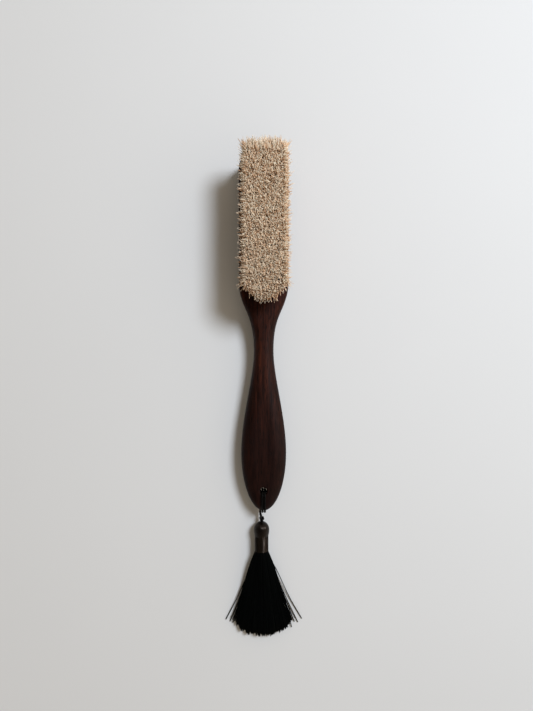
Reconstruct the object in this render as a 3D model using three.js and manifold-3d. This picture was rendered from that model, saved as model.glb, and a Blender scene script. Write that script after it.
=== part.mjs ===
// Cashmere brush lying on its back: a hardwood board with a long handle, tufts of natural bristle
// drawn through the board on wires, an inlaid back cover, and a tassel on a hitched cord.
// Millimetres, +Z up. The tufts point up, +Y runs from the tassel to the toe, and the origin is
// under the middle of the wood, on the surface that the brush lies on.
import * as THREE from "three";
import { mergeVertices } from "three/addons/utils/BufferGeometryUtils.js";
import Module from "manifold-3d";

const wasm = await Module();
wasm.setup();
const { Manifold, Mesh: SolidMesh } = wasm;
const { degToRad, lerp, smoothstep } = THREE.MathUtils;

// Gap between pieces that seat on or pass through each other
const CLEARANCE = 0.3;

// Wooden body in plan
const BODY_LENGTH = 230;
const HEAD_WIDTH = 32;
const HEAD_LENGTH = 81;
const TOE_RADIUS = 8;
const TOE_EASE = 2;
const NECK_WIDTH = 12.8;
const NECK_FROM_TAIL = 104.5;
const BULB_WIDTH = 29.3;
const BULB_FROM_TAIL = 37.5;

// How far each curve of the outline holds its direction, as a share of its run
const SHOULDER_HOLD = 0.407;
const NECK_HOLD_UP = 0.581;
const NECK_HOLD_DOWN = 0.273;
const BULB_HOLD = 0.358;

// Wooden body from the side
const HEAD_THICKNESS = 16;
const HANDLE_THICKNESS = 12;
const TAIL_THICKNESS = 9;
const HANDLE_MID_HEIGHT = 9;
const TAIL_NOSE = 5;

// Rounded edges of the wood: radii on the head, and the handle's rounding as shares of its section
const HEAD_TOP_EDGE = 1.6;
const HEAD_BACK_EDGE = 2.2;
const HANDLE_ROUND_WIDTH = 9;
const WIDEST_ROUND = 0.85;
const TALLEST_ROUND = 0.48;

// Hole for the hanging cord
const HANG_HOLE_RADIUS = 2.4;
const HANG_HOLE_FROM_TAIL = 13.5;

// Tufts, in rows along the brush and columns across it
const ROW_PITCH = 5.5;
const COLUMN_PITCH = 5.72;
const FIRST_COLUMN_FROM_TOE = 5.2;
const TUFT_FIELD_LENGTH = 89;
const TUFT_RADIUS = 1.3;
const TUFT_EDGE_MARGIN = 2.4;
const BRISTLE_LENGTH = 22;
const BRISTLE_UNEVENNESS = 1.2;
const STRANDS_PER_TUFT = 5;
const STRAND_RADIUS = 0.36;
const STRAND_ROOT_RING = 0.7;
const STRAND_TIP_RING = 1.9;
const OUTWARD_LEAN = 1.5;
const BANK_COUNT = 4;
const SLICE_THICKNESS = 1;

// Draw wires under the tufts, and the cover inlaid over them
const WIRE_DIAMETER = 0.8;
const COVER_THICKNESS = 3;
const COVER_MARGIN = 0.5;
const COVER_NECK_MARGIN = 2.5;
const COVER_TOE_CORNER = 4;

// Hanging cord: one length, doubled, hitched through the hole and twisted together below it
const CORD_DIAMETER = 1.3;
const TWIST_RADIUS = 0.9;
const TWIST_LOBE = 0.3;
const TWIST_TURNS = 0.25;
const SWAY_BALL_RADIUS = 1.2;
const KNOT_RADIUS = 1.5;

// The hitch's route, from the hole's axis at the handle's mid-height: along the back from the drop to
// the hole, up through it, along the top face and round the tail, across the strands on the back as
// a bight, and back the same way.
const HITCH_ROUTE = [
  [-2.4, -15.2, -5.1],
  [-2.2, -13.5, -5.6],
  [-1.75, -11.9, -5.85],
  [-1.2, -10.4, -5.75],
  [-0.9, -8.8, -5.55],
  [-0.75, -7, -5.35],
  [-0.75, -5, -5.5],
  [-0.75, -2.9, -5.75],
  [-0.75, -1.72, -5.44],
  [-0.75, -0.87, -4.58],
  [-0.75, -0.55, -3.4],
  [-0.75, -0.5, -1.5],
  [-0.75, -0.5, 1.5],
  [-0.75, -0.55, 3.4],
  [-0.75, -0.87, 4.58],
  [-0.75, -1.72, 5.44],
  [-0.75, -2.9, 5.75],
  [-0.75, -5, 5.5],
  [-0.75, -8, 5.35],
  [-0.75, -10.9, 4.85],
  [-0.75, -12.9, 3.55],
  [-0.8, -14.1, 1.6],
  [-0.8, -14.25, -0.8],
  [-1, -13.5, -2.85],
  [-2.3, -11.7, -4.4],
  [-2.9, -9.6, -5.4],
  [-2.1, -7.4, -6.75],
  [0, -6.4, -7.05],
  [2.1, -7.4, -6.75],
  [2.9, -9.6, -5.4],
  [2.3, -11.7, -4.4],
  [1, -13.5, -2.85],
  [0.8, -14.25, -0.8],
  [0.8, -14.1, 1.6],
  [0.75, -12.9, 3.55],
  [0.75, -10.9, 4.85],
  [0.75, -8, 5.35],
  [0.75, -5, 5.5],
  [0.75, -2.9, 5.75],
  [0.75, -1.72, 5.44],
  [0.75, -0.87, 4.58],
  [0.75, -0.55, 3.4],
  [0.75, -0.5, 1.5],
  [0.75, -0.5, -1.5],
  [0.75, -0.55, -3.4],
  [0.75, -0.87, -4.58],
  [0.75, -1.72, -5.44],
  [0.75, -2.9, -5.75],
  [0.75, -5, -5.5],
  [0.75, -7, -5.35],
  [0.8, -8.6, -5.75],
  [0.5, -10.2, -6.6],
  [-0.4, -11.8, -7.3],
  [-1.5, -13.3, -7.3],
  [-2.3, -15.2, -6.7],
];
// Where the drop turns under the hitch, and, in plan, where the tassel turns under the drop
const SWAY_PIVOT = [-2.3, -16.9, -5.6];
const LIFT_PIVOT = [-1.4, -20.2];

// Tassel: a thread-covered bead, a wrapped neck and a skirt that lies fanned out on the table
const HEAD_RADIUS = 5.05;
const HEAD_DOME = 5.4;
const HEAD_HEIGHT = 9.8;
const WAIST_RADIUS = 4.35;
const HEAD_WALL = 0.95;
const CORD_TAIL_RADIUS = 1.1;
const STOP_KNOT_RADIUS = 2;
const NECK_RADIUS = 3.6;
const WRAP_TURNS = 8;
const WRAP_PITCH = 1.05;
const WRAP_THREAD = 0.55;
const SKIRT_LENGTH = 55;
const SKIRT_HEM_WIDTH = 39;
const SKIRT_HEM_THICKNESS = 5;
const SKIRT_TOP_RADIUS = 4.4;
const HEM_ROUND = 8.5;
const SKIRT_RIBS = 20;
const RIB_DEPTH = 0.05;
const FAN_CURVE = 0.8;
const HEM_CURVE = 3;
const SAG_RATE = 2.2;

// Facets
const TOE_EASE_STEPS = 3;
const TOE_CORNER_STEPS = 4;
const CORNER_STEPS = 4;
const SHOULDER_STATIONS = 9;
const BULB_STATIONS = 9;
const TAIL_STATIONS = 12;
const TAIL_LAST_TURN = 88;
const OUTLINE_SAMPLES = 60;
const COVER_ARC_STEPS = 6;
const TUFT_SIDES = 6;
const STRAND_SIDES = 3;
const WIRE_SIDES = 6;
const HOLE_SIDES = 16;
const CORD_SIDES = 8;
const CORD_STEPS = 78;
const TWIST_SIDES = 10;
const TWIST_STEPS = 8;
const KNOT_SIDES = 10;
const KNOT_RINGS = 6;
const LATHE_SIDES = 20;
const DOME_STEPS = 5;
const WAIST_STEPS = 3;
const BEAD_STEPS = 6;
const WRAP_SIDES = 5;
const WRAP_STEPS_PER_TURN = 14;
const SKIRT_STATIONS = 12;
const MERGE_TOLERANCE = 1e-4;

// Places and sizes that follow
const TOE_Y = BODY_LENGTH / 2;
const TAIL_Y = -BODY_LENGTH / 2;
const SHOULDER_Y = TOE_Y - HEAD_LENGTH;
const NECK_Y = TAIL_Y + NECK_FROM_TAIL;
const BULB_Y = TAIL_Y + BULB_FROM_TAIL;
const HANG_HOLE_Y = TAIL_Y + HANG_HOLE_FROM_TAIL;
const FACE_Z = HEAD_THICKNESS;
const WIRE_Z = COVER_THICKNESS + CLEARANCE + WIRE_DIAMETER / 2;
const SLICE_BASE_Z = WIRE_Z + WIRE_DIAMETER / 2 + CLEARANCE;
const SLICE_TOP_Z = SLICE_BASE_Z + SLICE_THICKNESS;
const RECESS_FLOOR_Z = SLICE_TOP_Z + CLEARANCE;
const TUFT_HOLE_RADIUS = TUFT_RADIUS + CLEARANCE;
const TUFT_EDGE = TUFT_EDGE_MARGIN + TUFT_HOLE_RADIUS;
const TUFT_ROWS = Math.floor((HEAD_WIDTH - 2 * TUFT_EDGE) / ROW_PITCH) + 1;
const TUFT_COLUMNS = Math.floor((TUFT_FIELD_LENGTH - 2 * TUFT_RADIUS) / COLUMN_PITCH) + 1;
const OUTER_ROW_X = ((TUFT_ROWS - 1) / 2) * ROW_PITCH;
const FIRST_COLUMN_Y = TOE_Y - FIRST_COLUMN_FROM_TOE;
const LAST_COLUMN_Y = FIRST_COLUMN_Y - (TUFT_COLUMNS - 1) * COLUMN_PITCH;
const COVER_HALF_WIDTH = OUTER_ROW_X + TUFT_HOLE_RADIUS + COVER_MARGIN;
const COVER_TOE_Y = FIRST_COLUMN_Y + TUFT_HOLE_RADIUS + COVER_MARGIN;
const COVER_END_Y = LAST_COLUMN_Y - TUFT_HOLE_RADIUS - COVER_NECK_MARGIN;
const COVER_TURN_Y = LAST_COLUMN_Y + COLUMN_PITCH;
const ROUTE_ORIGIN = new THREE.Vector3(0, HANG_HOLE_Y, HANDLE_MID_HEIGHT);
const SWAY_POINT = new THREE.Vector3(...SWAY_PIVOT).add(ROUTE_ORIGIN);
const LIFT_POINT = new THREE.Vector3(LIFT_PIVOT[0], HANG_HOLE_Y + LIFT_PIVOT[1], HEAD_RADIUS);

const FINISHES = {
  wood: { color: 0x2c1a15, roughness: 0.45, metalness: 0 },
  bristle: { color: 0xb9a48c, roughness: 0.7, metalness: 0 },
  wire: { color: 0xb08d57, roughness: 0.35, metalness: 1 },
  cord: { color: 0x0c0c0c, roughness: 0.6, metalness: 0 },
  satin: { color: 0x1a1513, roughness: 0.35, metalness: 0 },
  thread: { color: 0x060606, roughness: 0.6, metalness: 0 },
  bead: { color: 0xc9a877, roughness: 0.6, metalness: 0 },
};

// Helpers for solids

function solidFrom(geometry) {
  const bare = geometry.index ? geometry.toNonIndexed() : geometry.clone();
  bare.deleteAttribute("normal");
  bare.deleteAttribute("uv");
  const merged = mergeVertices(bare, MERGE_TOLERANCE);
  return new Manifold(
    new SolidMesh({
      numProp: 3,
      vertProperties: merged.attributes.position.array,
      triVerts: new Uint32Array(merged.index.array),
    }),
  );
}

function joined(geometries) {
  return Manifold.union(geometries.map(solidFrom));
}

function piece(name, finish, solid) {
  const { vertProperties, triVerts } = solid.getMesh();
  const geometry = new THREE.BufferGeometry();
  geometry.setAttribute("position", new THREE.BufferAttribute(vertProperties, 3));
  geometry.setIndex(new THREE.BufferAttribute(triVerts, 1));
  geometry.computeVertexNormals();
  const mesh = new THREE.Mesh(geometry, new THREE.MeshStandardMaterial(finish));
  mesh.name = name;
  return mesh;
}

// Skins equal rings of points, each counter-clockwise about the way they run, and closes both ends.
function loftGeometry(rings) {
  const size = rings[0].length;
  const points = rings.flat();
  const middle = (ring) =>
    ring.reduce((sum, p) => sum.add(p), new THREE.Vector3()).divideScalar(ring.length);
  const startHub = points.length;
  const endHub = startHub + 1;
  points.push(middle(rings[0]), middle(rings.at(-1)));
  const index = [];
  const lastRing = (rings.length - 1) * size;
  for (let j = 0; j < size; j += 1) {
    const next = (j + 1) % size;
    for (let ring = 0; ring < lastRing; ring += size) {
      index.push(ring + j, ring + next, ring + size + next);
      index.push(ring + j, ring + size + next, ring + size + j);
    }
    index.push(startHub, next, j);
    index.push(endHub, lastRing + j, lastRing + next);
  }
  return new THREE.BufferGeometry().setFromPoints(points).setIndex(index);
}

function uprightCylinder(radius, { x, y }, bottom, top, sides) {
  return new THREE.CylinderGeometry(radius, radius, top - bottom, sides)
    .rotateX(Math.PI / 2)
    .translate(x, y, (bottom + top) / 2);
}

// A bar along Y, which is also the way that the wires and the tassel run.
function lengthwiseCylinder(radius, x, z, fromY, toY, sides) {
  return new THREE.CylinderGeometry(radius, radius, Math.abs(toY - fromY), sides).translate(
    x,
    (fromY + toY) / 2,
    z,
  );
}

function ballGeometry(radius, { x, y, z }) {
  return new THREE.SphereGeometry(radius, KNOT_SIDES, KNOT_RINGS).translate(x, y, z);
}

function tubeGeometry(curve, radius, sides, steps) {
  const corners = Array.from({ length: sides }, (_, i) => {
    const angle = (2 * Math.PI * i) / sides;
    return new THREE.Vector2(radius * Math.cos(angle), radius * Math.sin(angle));
  });
  return new THREE.ExtrudeGeometry(new THREE.Shape(corners), { extrudePath: curve, steps });
}

// Least gap of a tube to itself, between points that lie further apart along it than nearby.
function leastGap(points, diameter, nearby) {
  let least = Infinity;
  points.forEach((p, i) => {
    let along = 0;
    for (let j = i + 1; j < points.length; j += 1) {
      along += points[j].distanceTo(points[j - 1]);
      if (along > nearby) least = Math.min(least, p.distanceTo(points[j]) - diameter);
    }
  });
  return least;
}

const smooth = (share) => smoothstep(share, 0, 1);

// Wooden body

// One side of the outline as two S curves, from the shoulder to the neck and on to the bulb.
const shoulderCurve = new THREE.CubicBezierCurve(
  new THREE.Vector2(HEAD_WIDTH / 2, SHOULDER_Y),
  new THREE.Vector2(HEAD_WIDTH / 2, lerp(SHOULDER_Y, NECK_Y, SHOULDER_HOLD)),
  new THREE.Vector2(NECK_WIDTH / 2, lerp(NECK_Y, SHOULDER_Y, NECK_HOLD_UP)),
  new THREE.Vector2(NECK_WIDTH / 2, NECK_Y),
);
const bulbCurve = new THREE.CubicBezierCurve(
  new THREE.Vector2(NECK_WIDTH / 2, NECK_Y),
  new THREE.Vector2(NECK_WIDTH / 2, lerp(NECK_Y, BULB_Y, NECK_HOLD_DOWN)),
  new THREE.Vector2(BULB_WIDTH / 2, lerp(BULB_Y, NECK_Y, BULB_HOLD)),
  new THREE.Vector2(BULB_WIDTH / 2, BULB_Y),
);

// Cross-sections of the toe: an eased end, then round corners in plan.
function toeStations() {
  const eased = Array.from({ length: TOE_EASE_STEPS }, (_, i) => {
    const turn = (i / TOE_EASE_STEPS) * (Math.PI / 2);
    return { back: TOE_EASE * (1 - Math.cos(turn)), inset: TOE_EASE * (1 - Math.sin(turn)) };
  });
  const round = Array.from({ length: TOE_CORNER_STEPS }, (_, i) => {
    const turn = ((i + 1) / TOE_CORNER_STEPS) * (Math.PI / 2);
    return { back: TOE_RADIUS * (1 - Math.cos(turn)), inset: 0 };
  }).filter(({ back }) => back > TOE_EASE);
  return [...eased, ...round].map(({ back, inset }) => {
    const corner = Math.sqrt(back * (2 * TOE_RADIUS - back));
    return { y: TOE_Y - back, inset, halfWidth: HEAD_WIDTH / 2 - TOE_RADIUS + corner - inset };
  });
}

// Cross-sections of the tail, whose plan is half an ellipse.
function tailStations() {
  return Array.from({ length: TAIL_STATIONS }, (_, i) => {
    const turn = degToRad((TAIL_LAST_TURN * (i + 1)) / TAIL_STATIONS);
    const y = BULB_Y - BULB_FROM_TAIL * Math.sin(turn);
    return { y, inset: 0, halfWidth: (BULB_WIDTH / 2) * Math.cos(turn) };
  });
}

function outlineStations() {
  const onCurve = (p) => ({ y: p.y, inset: 0, halfWidth: p.x });
  return [
    ...toeStations(),
    ...shoulderCurve.getPoints(SHOULDER_STATIONS).map(onCurve),
    ...bulbCurve.getPoints(BULB_STATIONS).slice(1).map(onCurve),
    ...tailStations(),
  ];
}

// Half-width of the wood at a place on the head or shoulder.
function woodHalfWidth(y) {
  if (y >= SHOULDER_Y) return HEAD_WIDTH / 2;
  const points = shoulderCurve.getPoints(OUTLINE_SAMPLES);
  const after = points.findIndex((p) => p.y <= y);
  if (after < 1) return NECK_WIDTH / 2;
  const share = (points[after - 1].y - y) / (points[after - 1].y - points[after].y);
  return lerp(points[after - 1].x, points[after].x, share);
}

// Half-thickness of the handle, thinner at the tail and round at its nose.
function handleHalfThickness(y) {
  const taper = smooth((BULB_Y - y) / (BULB_FROM_TAIL - TAIL_NOSE));
  const nose = Math.max(0, (TAIL_Y + TAIL_NOSE - y) / TAIL_NOSE);
  return (lerp(HANDLE_THICKNESS, TAIL_THICKNESS, taper) / 2) * Math.sqrt(1 - nose ** 2);
}

// One cross-section: a box with elliptical corners, flat above and below. The top comes down to
// the handle along the shoulder, and the back rises to it past the end of the cover.
function woodRing({ y, inset, halfWidth }) {
  const handle = smooth((SHOULDER_Y - y) / (SHOULDER_Y - NECK_Y));
  const lifted = smooth((COVER_END_Y - y) / (COVER_END_Y - NECK_Y));
  const half = handleHalfThickness(y);
  const bottom = lerp(0, HANDLE_MID_HEIGHT - half, lifted) + inset;
  const top = lerp(HEAD_THICKNESS, HANDLE_MID_HEIGHT + half, handle) - inset;
  const roundWidth = Math.min(HANDLE_ROUND_WIDTH, WIDEST_ROUND * halfWidth);
  const roundHeight = TALLEST_ROUND * (top - bottom);
  const corner = (edge, share) => ({
    rx: lerp(edge, roundWidth, share),
    rz: lerp(edge, roundHeight, share),
  });
  const upper = corner(HEAD_TOP_EDGE, handle);
  const lower = corner(HEAD_BACK_EDGE, lifted);
  return [upper, upper, lower, lower].flatMap(({ rx, rz }, quarter) => {
    const side = quarter === 0 || quarter === 3 ? 1 : -1;
    const centreZ = quarter < 2 ? top - rz : bottom + rz;
    return Array.from({ length: CORNER_STEPS + 1 }, (_, i) => {
      const angle = (quarter + i / CORNER_STEPS) * (Math.PI / 2);
      const x = side * (halfWidth - rx) + rx * Math.cos(angle);
      return new THREE.Vector3(x, y, centreZ + rz * Math.sin(angle));
    });
  });
}

// A plate in the outline of the inlaid cover, grown by a gap for the recess that it lies in: square
// with small corners at the toe, and half an ellipse towards the neck.
function coverPlate(grow, bottom, top) {
  const x = COVER_HALF_WIDTH + grow;
  const corner = COVER_TOE_CORNER + grow;
  const cornerY = COVER_TOE_Y + grow - corner;
  const shape = new THREE.Shape();
  shape.absarc(x - corner, cornerY, corner, 0, Math.PI / 2);
  shape.absarc(corner - x, cornerY, corner, Math.PI / 2, Math.PI);
  shape.absellipse(0, COVER_TURN_Y, x, COVER_TURN_Y - COVER_END_Y + grow, Math.PI, 2 * Math.PI);
  const settings = { depth: top - bottom, bevelEnabled: false, curveSegments: COVER_ARC_STEPS };
  return new THREE.ExtrudeGeometry(shape, settings).translate(0, 0, bottom);
}

// Centres of the tufts in each column that keep their margin to the wood's edge, from the toe.
const tuftColumns = Array.from({ length: TUFT_COLUMNS }, (_, column) => {
  const y = FIRST_COLUMN_Y - column * COLUMN_PITCH;
  const reach = woodHalfWidth(y) - TUFT_EDGE;
  return Array.from({ length: TUFT_ROWS }, (_unused, row) => row * ROW_PITCH - OUTER_ROW_X)
    .filter((x) => Math.abs(x) <= reach)
    .map((x) => new THREE.Vector2(x, y));
});

function brushBody() {
  const hangHolePlace = { x: 0, y: HANG_HOLE_Y };
  const hangHole = uprightCylinder(HANG_HOLE_RADIUS, hangHolePlace, 0, HEAD_THICKNESS, HOLE_SIDES);
  const tuftHoles = tuftColumns
    .flat()
    .map((p) => uprightCylinder(TUFT_HOLE_RADIUS, p, SLICE_TOP_Z, FACE_Z + CLEARANCE, TUFT_SIDES));
  const recess = coverPlate(CLEARANCE, -CLEARANCE, RECESS_FLOOR_Z);
  const wood = solidFrom(loftGeometry(outlineStations().map(woodRing)));
  return wood.subtract(joined([hangHole, recess, ...tuftHoles]));
}

function backCover() {
  return solidFrom(coverPlate(0, 0, COVER_THICKNESS));
}

// Bristle

// A tapering three-sided strand from its root to its tip.
function strandGeometry(root, tip) {
  const along = tip.clone().sub(root);
  const upright = new THREE.Vector3(0, 1, 0);
  const turn = new THREE.Quaternion().setFromUnitVectors(upright, along.clone().normalize());
  const middle = root.clone().lerp(tip, 0.5);
  return new THREE.ConeGeometry(STRAND_RADIUS, along.length(), STRAND_SIDES)
    .applyQuaternion(turn)
    .translate(middle.x, middle.y, middle.z);
}

// One tuft: a tight root that fills its hole, and strands that spread above the wood's face. Tufts
// near the edge of the field lean outwards, and the strands' lengths vary by a sine.
function tuftGeometries({ x, y }, number) {
  const fieldMiddle = (FIRST_COLUMN_Y + LAST_COLUMN_Y) / 2;
  const leanX = OUTWARD_LEAN * (x / OUTER_ROW_X);
  const leanY = OUTWARD_LEAN * ((y - fieldMiddle) / (FIRST_COLUMN_Y - fieldMiddle));
  const strands = Array.from({ length: STRANDS_PER_TUFT }, (_, s) => {
    const phase = number + (2 * Math.PI * s) / STRANDS_PER_TUFT;
    const across = new THREE.Vector3(Math.cos(phase), Math.sin(phase), 0);
    const length = BRISTLE_LENGTH - (BRISTLE_UNEVENNESS / 2) * (1 + Math.sin(number * number + s));
    const root = new THREE.Vector3(x, y, FACE_Z - CLEARANCE);
    const tip = new THREE.Vector3(x + leanX, y + leanY, FACE_Z + length);
    root.addScaledVector(across, STRAND_ROOT_RING);
    tip.addScaledVector(across, STRAND_TIP_RING);
    return strandGeometry(root, tip);
  });
  return [uprightCylinder(TUFT_RADIUS, { x, y }, SLICE_BASE_Z, FACE_Z, TUFT_SIDES), ...strands];
}

// The tufts of a run of columns, rooted in their slice of the bed under the board.
function bristleBank(bank) {
  const firstColumn = Math.round((bank * TUFT_COLUMNS) / BANK_COUNT);
  const nextBank = Math.round(((bank + 1) * TUFT_COLUMNS) / BANK_COUNT);
  const parting = (column) => FIRST_COLUMN_Y - (column - 0.5) * COLUMN_PITCH;
  const upper = bank === 0 ? TOE_Y : parting(firstColumn) - CLEARANCE / 2;
  const lower = bank === BANK_COUNT - 1 ? NECK_Y : parting(nextBank) + CLEARANCE / 2;
  const zone = new THREE.BoxGeometry(HEAD_WIDTH, upper - lower, HEAD_THICKNESS);
  zone.translate(0, (upper + lower) / 2, HEAD_THICKNESS / 2);
  const slice = solidFrom(coverPlate(0, SLICE_BASE_Z, SLICE_TOP_Z)).intersect(solidFrom(zone));
  const tufts = tuftColumns
    .slice(firstColumn, nextBank)
    .flatMap((column, c) => column.flatMap((p, r) => tuftGeometries(p, (firstColumn + c) * TUFT_ROWS + r)));
  return slice.add(joined(tufts));
}

// The wire that draws one row of tufts tight, lying between the bed and the cover.
function drawWire(row) {
  const x = row * ROW_PITCH - OUTER_ROW_X;
  const ys = tuftColumns
    .flat()
    .filter((p) => Math.abs(p.x - x) < ROW_PITCH / 2)
    .map((p) => p.y);
  return solidFrom(
    lengthwiseCylinder(WIRE_DIAMETER / 2, x, WIRE_Z, Math.min(...ys), Math.max(...ys), WIRE_SIDES),
  );
}

// Hanging cord

function hitch() {
  const points = HITCH_ROUTE.map((p) => new THREE.Vector3(...p).add(ROUTE_ORIGIN));
  const curve = new THREE.CatmullRomCurve3(points, false, "centripetal");
  const gap = leastGap(curve.getSpacedPoints(4 * CORD_STEPS), CORD_DIAMETER, 4 * CORD_DIAMETER);
  console.log(`hitch: ${curve.getLength().toFixed(1)} mm of cord, least gap ${gap.toFixed(2)} mm`);
  return solidFrom(tubeGeometry(curve, CORD_DIAMETER / 2, CORD_SIDES, CORD_STEPS));
}

// The drop: both strands, one above the other at the hitch and then twisted together, round where it
// turns under the hitch and knotted at its end.
function drop() {
  const forward = LIFT_POINT.clone().sub(SWAY_POINT).normalize();
  const side = new THREE.Vector3(0, 0, 1).cross(forward).normalize();
  const up = forward.clone().cross(side);
  const rings = Array.from({ length: TWIST_STEPS + 1 }, (_, i) => {
    const share = i / TWIST_STEPS;
    const centre = SWAY_POINT.clone().lerp(LIFT_POINT, share);
    return Array.from({ length: TWIST_SIDES }, (_unused, k) => {
      const angle = (2 * Math.PI * k) / TWIST_SIDES;
      const radius = TWIST_RADIUS + TWIST_LOBE * Math.cos(2 * angle);
      const turned = angle + Math.PI / 2 + 2 * Math.PI * TWIST_TURNS * share;
      return centre
        .clone()
        .addScaledVector(side, radius * Math.cos(turned))
        .addScaledVector(up, radius * Math.sin(turned));
    });
  });
  return joined([
    loftGeometry(rings),
    ballGeometry(SWAY_BALL_RADIUS, SWAY_POINT),
    ballGeometry(KNOT_RADIUS, LIFT_POINT),
  ]);
}

// Tassel, built along -Y from its turning point

const HEAD_TOP_Y = -(KNOT_RADIUS + CLEARANCE);
const BEAD_Y = HEAD_TOP_Y - HEAD_DOME;
const WAIST_Y = HEAD_TOP_Y - HEAD_HEIGHT;
const NECK_TOP_Y = WAIST_Y - CLEARANCE;
const NECK_END_Y = NECK_TOP_Y - WRAP_TURNS * WRAP_PITCH - WRAP_THREAD - 2 * CLEARANCE;
const BEAD_RADIUS = HEAD_RADIUS - HEAD_WALL - CLEARANCE;
const BORE_RADIUS = CORD_TAIL_RADIUS + CLEARANCE;
const SOCKET_RADIUS = STOP_KNOT_RADIUS + CLEARANCE;
const STOP_KNOT_Y = NECK_TOP_Y - SOCKET_RADIUS;

function latheSolid(profile) {
  return solidFrom(new THREE.LatheGeometry(profile, LATHE_SIDES));
}

// An arc about the bead's centre between two distances from the axis, each above or below it.
function beadArc(radius, from, to, steps) {
  const turnTo = ({ x, below }) => (below ? -1 : 1) * Math.acos(x / radius);
  return Array.from({ length: steps + 1 }, (_, i) => {
    const angle = lerp(turnTo(from), turnTo(to), i / steps);
    return new THREE.Vector2(radius * Math.cos(angle), BEAD_Y + radius * Math.sin(angle));
  });
}

function tasselBead() {
  const from = { x: BORE_RADIUS, below: true };
  const to = { x: BORE_RADIUS, below: false };
  const outside = beadArc(BEAD_RADIUS, from, to, BEAD_STEPS);
  return latheSolid([...outside, outside[0].clone()]);
}

// The threads drawn over the bead: a dome that narrows to the waist, hollow for the bead.
function headCover() {
  const waist = Array.from({ length: WAIST_STEPS }, (_, i) => {
    const share = 1 - i / WAIST_STEPS;
    return new THREE.Vector2(lerp(HEAD_RADIUS, WAIST_RADIUS, share ** 2), lerp(BEAD_Y, WAIST_Y, share));
  });
  const mouthTurn = Math.asin(BORE_RADIUS / HEAD_RADIUS);
  const dome = Array.from({ length: DOME_STEPS + 1 }, (_, i) => {
    const turn = lerp(Math.PI / 2, mouthTurn, i / DOME_STEPS);
    return new THREE.Vector2(HEAD_RADIUS * Math.sin(turn), BEAD_Y + HEAD_DOME * Math.cos(turn));
  });
  const from = { x: BORE_RADIUS, below: false };
  const to = { x: SOCKET_RADIUS, below: true };
  const cavity = beadArc(BEAD_RADIUS + CLEARANCE, from, to, BEAD_STEPS);
  const foot = new THREE.Vector2(SOCKET_RADIUS, WAIST_Y);
  return latheSolid([...waist, ...dome, ...cavity, foot, waist[0].clone()]);
}

// The cord's end inside the head, and the knot that stops it under the bead.
function cordTail() {
  return joined([
    lengthwiseCylinder(CORD_TAIL_RADIUS, 0, 0, STOP_KNOT_Y, HEAD_TOP_Y, KNOT_SIDES),
    ballGeometry(STOP_KNOT_RADIUS, { x: 0, y: STOP_KNOT_Y, z: 0 }),
  ]);
}

// The thread wound round the neck.
class NeckHelix extends THREE.Curve {
  getPoint(share, target = new THREE.Vector3()) {
    const radius = NECK_RADIUS + CLEARANCE + WRAP_THREAD / 2;
    const turns = share * WRAP_TURNS;
    const y = NECK_TOP_Y - CLEARANCE - WRAP_THREAD / 2 - WRAP_PITCH * turns;
    const angle = 2 * Math.PI * turns;
    return target.set(radius * Math.cos(angle), y, radius * Math.sin(angle));
  }
}

function neckWrap() {
  const steps = WRAP_TURNS * WRAP_STEPS_PER_TURN;
  const curve = new NeckHelix();
  const gap = leastGap(curve.getSpacedPoints(steps), WRAP_THREAD, 4 * WRAP_PITCH);
  console.log(`neck wrap: ${WRAP_TURNS} turns, least gap ${gap.toFixed(2)} mm`);
  return solidFrom(tubeGeometry(curve, WRAP_THREAD / 2, WRAP_SIDES, steps));
}

// One ribbed cross-section of the skirt. Its sides lag behind its middle, so that the hem is round.
function skirtRing({ y, halfWidth, halfHeight, centreZ, lag, ribs }) {
  const count = 2 * SKIRT_RIBS;
  return Array.from({ length: count }, (_, k) => {
    const angle = (2 * Math.PI * k) / count;
    const swell = 1 - (k % 2) * ribs;
    const x = halfWidth * swell * Math.cos(angle);
    const z = centreZ + halfHeight * swell * Math.sin(angle);
    return new THREE.Vector3(x, y + lag * Math.abs(Math.cos(angle)) ** HEM_CURVE, z);
  });
}

// The threads below the neck: a round stem inside the wrap, spreading into a flat fan on the table.
function tasselSkirt() {
  const tableZ = -LIFT_POINT.z;
  const stem = { halfWidth: NECK_RADIUS, halfHeight: NECK_RADIUS, centreZ: 0, lag: 0, ribs: 0 };
  const rings = [skirtRing({ ...stem, y: NECK_TOP_Y }), skirtRing({ ...stem, y: NECK_END_Y })];
  for (let i = 0; i <= SKIRT_STATIONS; i += 1) {
    const share = i / SKIRT_STATIONS;
    const halfHeight = lerp(SKIRT_TOP_RADIUS, SKIRT_HEM_THICKNESS / 2, smooth(share));
    rings.push(
      skirtRing({
        y: NECK_END_Y - CLEARANCE - SKIRT_LENGTH * share,
        halfWidth: lerp(SKIRT_TOP_RADIUS, SKIRT_HEM_WIDTH / 2, share ** FAN_CURVE),
        halfHeight,
        centreZ: lerp(0, tableZ + halfHeight, smooth(SAG_RATE * share)),
        lag: HEM_ROUND * share ** 2,
        ribs: RIB_DEPTH * smooth(2 * share),
      }),
    );
  }
  const socketEnd = STOP_KNOT_Y - SOCKET_RADIUS;
  const socket = lengthwiseCylinder(SOCKET_RADIUS, 0, 0, socketEnd, WAIST_Y, KNOT_SIDES);
  return solidFrom(loftGeometry(rings)).subtract(solidFrom(socket));
}

// Assembly

const brush = new THREE.Group();
brush.add(piece("brush_body", FINISHES.wood, brushBody()));
brush.add(piece("back_cover", FINISHES.wood, backCover()));
for (let row = 0; row < TUFT_ROWS; row += 1) {
  brush.add(piece(`draw_wire_${row + 1}`, FINISHES.wire, drawWire(row)));
}
for (let bank = 0; bank < BANK_COUNT; bank += 1) {
  brush.add(piece(`bristle_bank_${bank + 1}`, FINISHES.bristle, bristleBank(bank)));
}
brush.add(piece("hang_cord_hitch", FINISHES.cord, hitch()));
brush.add(piece("hang_cord_drop", FINISHES.cord, drop()));

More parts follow.
